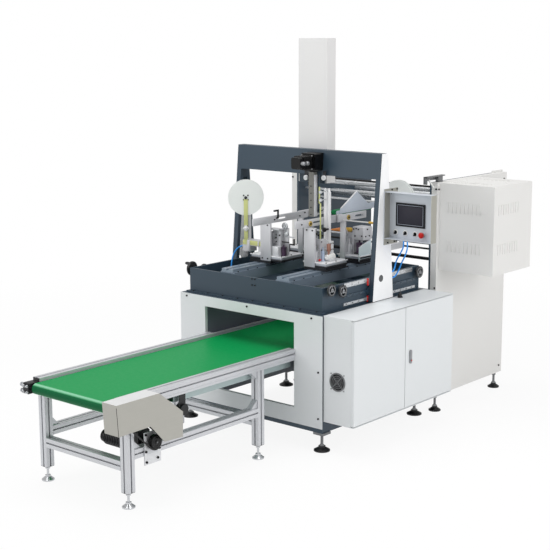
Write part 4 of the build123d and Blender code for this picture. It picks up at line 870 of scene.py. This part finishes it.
nipples = [facing((x, cap_low[1], z + way * 0.012), front_face)
    for x in (cap_high[0] - 0.0037, cap_low[0] + 0.0037) for z in (0.957, 1.073) for way in (-1, 1)]
cap_screws("cap_screws", 0.003, nipples, "gantry", rail_steel)
servo_low, servo_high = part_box("servo_motor")
shaft_x, shaft_z = (servo_low[0] + servo_high[0]) / 2, (servo_low[2] + servo_high[2]) / 2
ribs = []
for step in range(6):
    start = servo_low[1] + 0.042 + step * 0.014
    ribs.append(bar("rib", (shaft_x - 0.047, start, shaft_z - 0.047), (shaft_x + 0.047, start + 0.006,
        shaft_z + 0.047), 0.002))
settle(unite("servo_ribs", *ribs), servo_black, "gantry")
corners = [facing((shaft_x + a * 0.045, servo_low[1] + 0.1235, shaft_z + b * 0.045), front_face)
    for a in (-1, 1) for b in (-1, 1)]
cap_screws("servo_screws", 0.0045, corners, "gantry", rail_steel)
turned("servo_plugs", 28, [(0, 0.013), (0.010, 0.013), (0.011, 0.015), (0.020, 0.015), (0.022, 0.013),
    (0.028, 0.012), (0.030, 0.008)], [facing((servo_high[0] - 0.020, servo_low[1] + y, shaft_z), (1, 0, 0))
    for y in (0.017, 0.058)], lock_metal, "gantry")
turned("ram_idlers", 36, [(0, 0.016), (0.002, 0.018), (0.004, 0.014), (0.010, 0.014), (0.012, 0.018),
    (0.014, 0.016), (0.014, 0.010), (0.010, 0.009), (0.010, 0.005), (0.018, 0.004)],
    [on_front(x, 0.600, z) for x, z in ((0.676, 1.744), (0.836, 1.752))], pale_metal, "gantry")
settle(unite("idler_plates", slab("left", (0.658, 0.600, 1.722), (0.706, 0.606, 1.800), 0.001),
    slab("right", (0.824, 0.600, 1.734), (0.848, 0.606, 1.800), 0.001)), dark_metal, "gantry")
settle(slab("mast_foot", (0.536, 0.692, 1.698), (0.764, 0.6999, 1.772), 0.001), slate_paint, "gantry")
settle(slab("clamp_block", (0.690, 0.596, 1.690), (0.716, 0.608, 1.716), 0.002), screw_black, "gantry")
settle(slab("ram_strip", (0.7662, 0.572, 1.476), (0.7682, 0.608, 1.770), 0.0005), pale_metal, "ram")
cap_screws("ram_screws", 0.004, [on_front(0.742, 0.570, 1.490 + 0.05 * step) for step in range(5)], "ram")
cap_screws("guide_plate_screws", 0.0045, [on_front(x, 0.6105, z) for x in (0.724, 0.776)
    for z in (1.52, 1.60, 1.68, 1.75)], "gantry")

# The control box: a folded steel box, open to the front, with a brushed panel that holds a touch screen,
# three selectors and a stop button. Screws fix it to its bracket, and two glands take the air tubes.
panel_tone = tint(196, 202, 210)
panel_steel = metal("panel_steel", panel_tone, 0.0, 0.42, 0.2)
# Painted shade: faces that look sideways, the box's side walls, get a darker brownish tone than the front
# panel. It stands in for the shade on them.
tree = panel_steel.node_tree
sideways = along(tree, "ShaderNodeNewGeometry", "Normal", 0)
painted_flank_shade = wired(tree, "ShaderNodeMath", {0: sideways}, operation="ABSOLUTE")
two_tones(tree, painted_flank_shade.outputs[0], panel_tone, tint(160, 159, 150))
dress(panel_steel, "control_box")
bezel_black = moulded("bezel_black", tint(10, 14, 20), 0.45, specular=0.25)
dress(bezel_black, "screen_bezel", "selector_buttons")
dress(moulded("stop_red", tint(192, 16, 12), 0.35, specular=0.3), "stop_button")
bezel_low, bezel_high = (Vector(v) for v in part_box("screen_bezel"))
margin = 0.021
glass = moulded("screen_glass", tint(44, 43, 54), 0.42, 0.02, grain=3000.0, specular=0.25)
settle(bar("screen_pane", (bezel_low.x + margin, bezel_low.y + 0.0008, bezel_low.z + margin),
    (bezel_high.x - margin, bezel_low.y + 0.0025, bezel_high.z - margin), 0.0005), glass, "gantry")
rim_grey = moulded("rim_grey", tint(140, 146, 160), 0.35)
rims = []
for x0, x1, z0, z1 in ((0.012, 0.0155, 0.012, 0.148), (0.2185, 0.222, 0.012, 0.148),
        (0.012, 0.222, 0.012, 0.0155), (0.012, 0.222, 0.1445, 0.148)):
    rims.append(bar("rim", bezel_low + Vector((x0, -0.0008, z0)), bezel_low + Vector((x1, 0.0008, z1)),
        0.0002))
settle(unite("screen_rim", *rims), rim_grey, "gantry")
knob_low, knob_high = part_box("selector_buttons")
panel_face, button_z = knob_high[1], (knob_low[2] + knob_high[2]) / 2
button_x = [knob_low[0] + 0.013 + 0.080 * step for step in range(3)]
turned("selector_rings", 32, [(0, 0.0195), (0.0015, 0.0195), (0.0025, 0.018), (0.0025, 0.0132)],
    [facing((x, panel_face, button_z), front_face) for x in button_x], white_plastic, "gantry")
pointers = [bar("pointer", (x - 0.001, knob_low[1] - 0.0006, button_z + 0.001),
    (x + 0.001, knob_low[1] + 0.0004, button_z + 0.010), 0.0002) for x in button_x]
settle(unite("selector_pointers", *pointers), white_plastic, "gantry")
stop_low, stop_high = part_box("stop_button")
stop_x, stop_z = (stop_low[0] + stop_high[0]) / 2, (stop_low[2] + stop_high[2]) / 2
turned("stop_collar", 36, [(0, 0.0175), (0.004, 0.0175), (0.006, 0.0155), (0.006, 0.0125)],
    [facing((stop_x, panel_face, stop_z), front_face)], rail_steel, "gantry")
turned("tube_glands", 6, [(0, 0.010), (0.007, 0.010), (0.008, 0.009), (0.008, 0.0075), (0.014, 0.0072)],
    [facing((x, 0.700, 1.3640), (0, 0, -1)) for x in (1.377, 1.407)], screw_black, "gantry")
sheet_x = 1.3113
cap_screws("bracket_plate_screws", 0.006,
    [on_right(sheet_x, y, z) for y, z in ((0.744, 1.692), (0.803, 1.692), (0.778, 1.331), (0.803, 1.331),
    (0.700, 1.331))], "gantry")
cap_screws("panel_corner_screws", 0.004, [facing((x, panel_face, z), front_face) for x in (1.290, 1.638)
    for z in (1.380, 1.668)], "gantry", rail_steel)

# The feed section behind the base: white side housings with dark inner plates, bright and dark rollers
# between them, and a narrow green belt on a bar that hangs from a cross bar by a pointed sheet plate.
wall_paint = powder("wall_paint", tint(223, 223, 221), 0.42, 0.012, 0.0)
feed_green = moulded("feed_green", tint(10, 128, 72), 0.5, specular=0.2)
blue_sheet = metal("blue_sheet", tint(208, 217, 229), 1.0, 0.3, 0.15)
dress(wall_paint, "rear_walls", "vent_box")
dress(slate_paint, "rear_frame")
dress(rail_steel, "feed_rollers")
dress(servo_black, "cross_bars")
dress(feed_green, "feed_belt")
dress(blue_sheet, "feed_belt_beam")
wall_places = [on_front(x, 1.250, z) for x in (0.010, 1.340) for z in (1.649, 0.932, 0.300)]
wall_places += [facing(spot(x, y, z), (x - 0.675, 0, 0)) for x in (0.0, 1.350) for y in (1.263, 2.165)
    for z in (1.648, 0.175)]
cap_screws("wall_screws", 0.0065, wall_places, "machine")
edge_start, edge_end = spot(0.788, 0.855, 1.507), spot(0.788, 1.044, 1.615)
rise = edge_end - edge_start
lip = bar("hanger_lip", (-0.006, 0, -0.0005), (0.006, rise.length, 0.002), 0.0004)
lip.matrix_world = Matrix.Translation(edge_start) @ Matrix.Rotation(atan2(rise.z, rise.y), 4, "X")
settle(lip, pale_metal, "machine")
hanger = unite("corner_bracket", slab("top", (1.302, 1.138, 1.736), (1.334, 1.369, 1.744)),
    slab("web", (1.302, 1.138, 1.712), (1.306, 1.369, 1.744)), slab("front", (1.302, 1.138, 1.690),
    (1.334, 1.144, 1.744)), slab("foot", (1.304, 1.290, 1.6962), (1.330, 1.345, 1.737)))
settle(hanger, guard_wire, "machine")
turned("bracket_rod", 20, [(0, 0.006), (0.001, 0.007), (0.100, 0.007), (0.102, 0.006)],
    [facing(spot(1.318, 1.256, 1.650), (0, -0.62, 0.60))], white_plastic, "machine")

# The vented box on the right wall: white sheet with two rows of louvres on two sides.
# Each louvre is a slot with a raised hood pressed out over it, and dome screws close the lid.
vent_low, vent_high = (Vector(v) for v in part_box("vent_box"))
pitch = (vent_high.x - vent_low.x) * 0.66 / 9
hoods = []
for step in range(9):
    for z in (1.525, 1.245):
        x = vent_low.x + 0.070 + step * pitch
        hoods.append(bar("hood", (x - 0.002, vent_low.y - 0.0035, z - 0.038),
            (x + 0.0082, vent_low.y + 0.001, z + 0.038), 0.0018))
        y = vent_low.y + 0.060 + step * pitch
        hoods.append(bar("hood", (vent_high.x - 0.001, y - 0.002, z - 0.038),
            (vent_high.x + 0.0035, y + 0.0082, z + 0.038), 0.0018))
    for y in (vent_low.y + 0.110, vent_high.y - 0.110):
        hoods.append(bar("hood", (x - 0.005, y - 0.038, vent_high.z - 0.001),
            (x + 0.005, y + 0.038, vent_high.z + 0.0035), 0.0018))
settle(unite("louvre_hoods", *hoods), wall_paint, "machine")
lid = [facing((x, y, vent_high.z), (0, 0, 1)) for x in (vent_low.x + 0.06, vent_high.x - 0.06)
    for y in (vent_low.y + 0.06, (vent_low.y + vent_high.y) / 2, vent_high.y - 0.06)]
turned("lid_screws", 20, [(0, 0.007), (0.002, 0.007), (0.004, 0.0055), (0.0048, 0.003), (0.0032, 0.002)],
    lid, wall_paint, "machine")

# The output conveyor: a frame of slotted aluminium extrusion on chrome feet, with a green belt over two
# rollers. Gussets and socket screws join the bars, and the driven roller turns in two bearing blocks.
aluminium = metal("aluminium", tint(206, 208, 212), 2.0, 0.32, 0.5)
belt_tone = tint(0, 142, 74)
belt_green = moulded("belt_green", belt_tone, 0.4, 0.01, grain=500.0, specular=0.12)
# Painted shade and painted highlight: where the belt's nose faces forward and down it gets a darker green for
# the shade there. A pale green band at the top of the nose stands in for a highlight, and the same band gets
# a coat.
tree = belt_green.node_tree
forward = along(tree, "ShaderNodeNewGeometry", "Normal", 1)
nose_painted_shade = wired(tree, "ShaderNodeMapRange", {0: forward, 1: -0.45, 2: -0.85})
shaded = two_tones(tree, nose_painted_shade.outputs[0], belt_tone, tint(0, 92, 52))
off = maths(tree, "ADD", forward, 0.42)
off = wired(tree, "ShaderNodeMath", {0: off.outputs[0]}, operation="ABSOLUTE")
painted_highlight = wired(tree, "ShaderNodeMapRange", {0: off.outputs[0], 1: 0.34, 2: 0.1})
two_tones(tree, painted_highlight.outputs[0], shaded, tint(128, 196, 158))
tree.links.new(painted_highlight.outputs[0], tree.nodes["Principled BSDF"].inputs["Coat Weight"])
pan_metal = metal("pan_metal", tint(168, 184, 184), 1.0, 0.3, 0.4)
foot_chrome = metal("foot_chrome", tint(205, 207, 210), 1.0, 0.2, 0.85)
dress(aluminium, "conveyor_frame")
dress(foot_chrome, "conveyor_feet")
dress(belt_green, "conveyor_belt")
dress(ground_steel, "conveyor_bed", "front_roller")
dress(black_metal, "roller_bearings")
dress(pan_metal, "belt_pan")
rails = (0.304, 1.040)
gusset_screws = []
for x in rails:
    for y, way in ((-1.4687, 1), (-0.3773, -1)):
        for z, up in ((0.5997, -1), (0.3523, 1)):
            gusset_screws.append(facing(spot(x, y + way * 0.022, z + up * 0.0305), (0, way, up)))
cap_screws("gusset_screws", 0.006, gusset_screws, "machine", rail_steel)
end_caps = []
for x in rails:
    end_caps.append(slab("cap", (x - 0.0285, -1.5635, 0.6165), (x + 0.0285, -1.5602, 0.6735), 0.0012))
for x in rails:
    for y in (-1.499, -0.347):
        end_caps.append(slab("cap", (x - 0.0285, y - 0.0285, 0.0915), (x + 0.0285, y + 0.0285, 0.0948),
            0.0012))
settle(unite("profile_caps", *end_caps), black_plastic, "machine")
journal_z = 0.620
turned("bearing_bolts", 6, [(0, 0.009), (0.007, 0.009), (0.008, 0.008), (0.008, 0.0045), (0.016, 0.0045),
    (0.017, 0.0035)], [on_front(x + a * 0.016, -1.645, journal_z + b * 0.019) for x in rails for a in (-1, 1)
    for b in (-1, 1)], rail_steel, "machine")
turned("bearing_races", 36, [(0, 0.024), (0.003, 0.024), (0.005, 0.021), (0.005, 0.017), (0.003, 0.016),
    (0.005, 0.014), (0.005, 0.0108)], [facing(spot(rails[0] - 0.025, -1.597, journal_z), (-1, 0, 0)),
    facing(spot(rails[1] - 0.025, -1.597, journal_z), (-1, 0, 0))], rail_steel, "machine")
turned("draw_bolts", 24, [(0, 0.006), (0.004, 0.006), (0.004, 0.012), (0.014, 0.012), (0.014, 0.007),
    (0.024, 0.007), (0.024, 0.013), (0.030, 0.013), (0.032, 0.011), (0.032, 0.005), (0.040, 0.005)],
    [facing(spot(0.279, y, z), (-1, 0, 0)) for y, z in ((-1.632, 0.640), (-1.632, 0.602), (-1.570, 0.600))],
    rail_steel, "machine")
settle(slab("bearing_yoke", (0.2745, -1.640, 0.648), (0.334, -1.566, 0.656), 0.002), black_metal, "machine")

# The conveyor's drive: a gear motor with cooling ribs, bolted to a plate on the low side bar.
# A V-belt runs up to the roller under a folded stainless guard.
guard_tone = tint(176, 175, 168)
guard_metal = metal("guard_metal", guard_tone, 1.0, 0.42, 0.3)
black_rubber = moulded("black_rubber", tint(30, 30, 31), 0.6)
# Painted light: faces that look up get a near-white tone. It stands in for the top light falling on the
# guard's lid.
tree = guard_metal.node_tree
upward = along(tree, "ShaderNodeNewGeometry", "Normal", 2)
top_painted_light = wired(tree, "ShaderNodeMath", {0: upward, 1: 0.9}, operation="MULTIPLY", use_clamp=True)
two_tones(tree, top_painted_light.outputs[0], guard_tone, tint(226, 227, 228))
dress(guard_metal, "drive_guard")
dress(servo_black, "drive_motor", "motor_pulley")
dress(black_rubber, "v_belt")
guard_low, guard_high = (Vector(v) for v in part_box("drive_guard"))
seam = bar("guard_seam", (-0.0012, -0.0012, 0), (0.0012, 0.0012, 0.172), 0.0004)
seam_foot = (guard_high.x - 0.0008, guard_low.y + 0.0128, 0.494)
seam.matrix_world = Matrix.Translation(seam_foot) @ Matrix.Rotation(radians(3.95), 4, "X")
settle(seam, screw_black, "machine")
motor_y = -1.335
motor_centre = spot(0, motor_y, 0.326)
rib_steps = [(0, 0.044)]
for step in range(14):
    start = 0.006 + 0.015 * step
    rib_steps += [(start, 0.044), (start, 0.050), (start + 0.005, 0.050), (start + 0.005, 0.044)]
rib_steps.append((0.222, 0.044))
turned("motor_fins", 40, rib_steps, [facing((spot(0.694, 0, 0).x, motor_centre.y, motor_centre.z),
    (1, 0, 0))], moulded("motor_grey", tint(40, 41, 44), 0.35), "machine")
pulley_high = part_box("motor_pulley")[1]
shaft_y, shaft_z = spot(0, motor_y, 0).y, 0.376
turned("pulley_face", 44, [(-0.001, 0.040), (0.002, 0.040), (0.003, 0.037), (0.001, 0.035), (0.001, 0.029),
    (0.003, 0.027), (0.003, 0.024), (0.001, 0.022), (0.001, 0.014), (0.005, 0.012), (0.005, 0.006)],
    [facing((pulley_high[0], shaft_y, shaft_z), (1, 0, 0))], screw_black, "motor_shaft")
turned("pulley_bolt", 6, [(0, 0.0055), (0.004, 0.0055), (0.005, 0.0045)],
    [facing((pulley_high[0] + 0.005, shaft_y, shaft_z), (1, 0, 0))], guard_wire, "motor_shaft")
foot_face, gusset_face = 1.0763, 1.0785
foot_plate = unite("motor_foot_plate", slab("foot", (1.0703, -1.396, 0.236), (foot_face, -1.262, 0.3),
    0.0008), slab("gusset", (1.0765, -1.396, 0.300), (gusset_face, -1.378, 0.437), 0.0004),
    slab("rim", (1.0765, -1.293, 0.300), (gusset_face, -1.264, 0.437), 0.0004))
settle(foot_plate, pale_metal, "machine")
cap_screws("motor_plate_screws", 0.0075,
    [on_right(foot_face, y, z) for y, z in ((-1.382, 0.254), (-1.290, 0.262))] + [on_right(gusset_face, y, z)
    for y, z in ((-1.387, 0.424), (-1.387, 0.320), (-1.278, 0.424), (-1.278, 0.320))], "machine")

# The handwheels: dished black wheels with a bright hub and rim ring, keyed on the setting spindles.
# The left front one is a crank with a turned handle.
wheel_grip = moulded("wheel_grip", tint(34, 35, 37), 0.32, 0.1)
dress(wheel_grip, "handwheel_front", "handwheel_second", "handwheel_rear", "handwheel_left", "crank_wheel")
wheels = [("handwheel_front", "front_wheel", 0.042, 1), ("handwheel_second", "second_wheel", 0.042, 1),
    ("handwheel_rear", "rear_wheel", 0.042, 1), ("handwheel_left", "left_wheel", 0.042, -1),
    ("crank_wheel", "crank", 0.052, -1)]
heights = {"handwheel_front": (0.110, 1.084), "handwheel_second": (0.233, 1.059),
    "handwheel_rear": (1.131, 1.061), "handwheel_left": (0.233, 1.059), "crank_wheel": (0.110, 1.084)}
wheel_plane = 1.2935
for node, body, radius, way in wheels:
    y, z = heights[node]
    face_x = spot(wheel_plane, 0, 0).x if way > 0 else spot(base_width - wheel_plane, 0, 0).x
    centre = Vector((face_x - way * 0.004, spot(0, y, 0).y, z))
    hub = turn_up(body + "_hub", 28, [(0, 0.014), (0.006, 0.014), (0.008, 0.012), (0.008, 0.006),
        (0.005, 0.006)])
    ring = turn_up("ring", 40, [(0.003, radius - 0.009), (0.0055, radius - 0.010), (0.0055, radius - 0.013),
        (0.003, radius - 0.014)])
    spokes = [bar("spoke", (-0.003, 0.010, 0.001), (0.003, radius - 0.012, 0.0045), 0.0008)
        for step in range(3)]
    for step, spoke in enumerate(spokes):
        spoke.matrix_world = Matrix.Rotation(2 * pi * step / 3, 4, "Z")
    whole = unite(body + "_hub", hub, ring, *spokes)
    whole.matrix_world = facing(centre, (way, 0, 0))
    settle(whole, lock_metal, body)
handle = turn_up("crank_handle", 28, [(0, 0.009), (0.004, 0.0105), (0.020, 0.012), (0.036, 0.0105),
    (0.042, 0.009), (0.044, 0.006)])
crank_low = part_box("crank_wheel")[0]
handle.matrix_world = facing((crank_low[0] + 0.042, spot(0, 0.110, 0).y, 1.084 + 0.032), (-1, 0, 0))
settle(handle, wheel_grip, "crank")
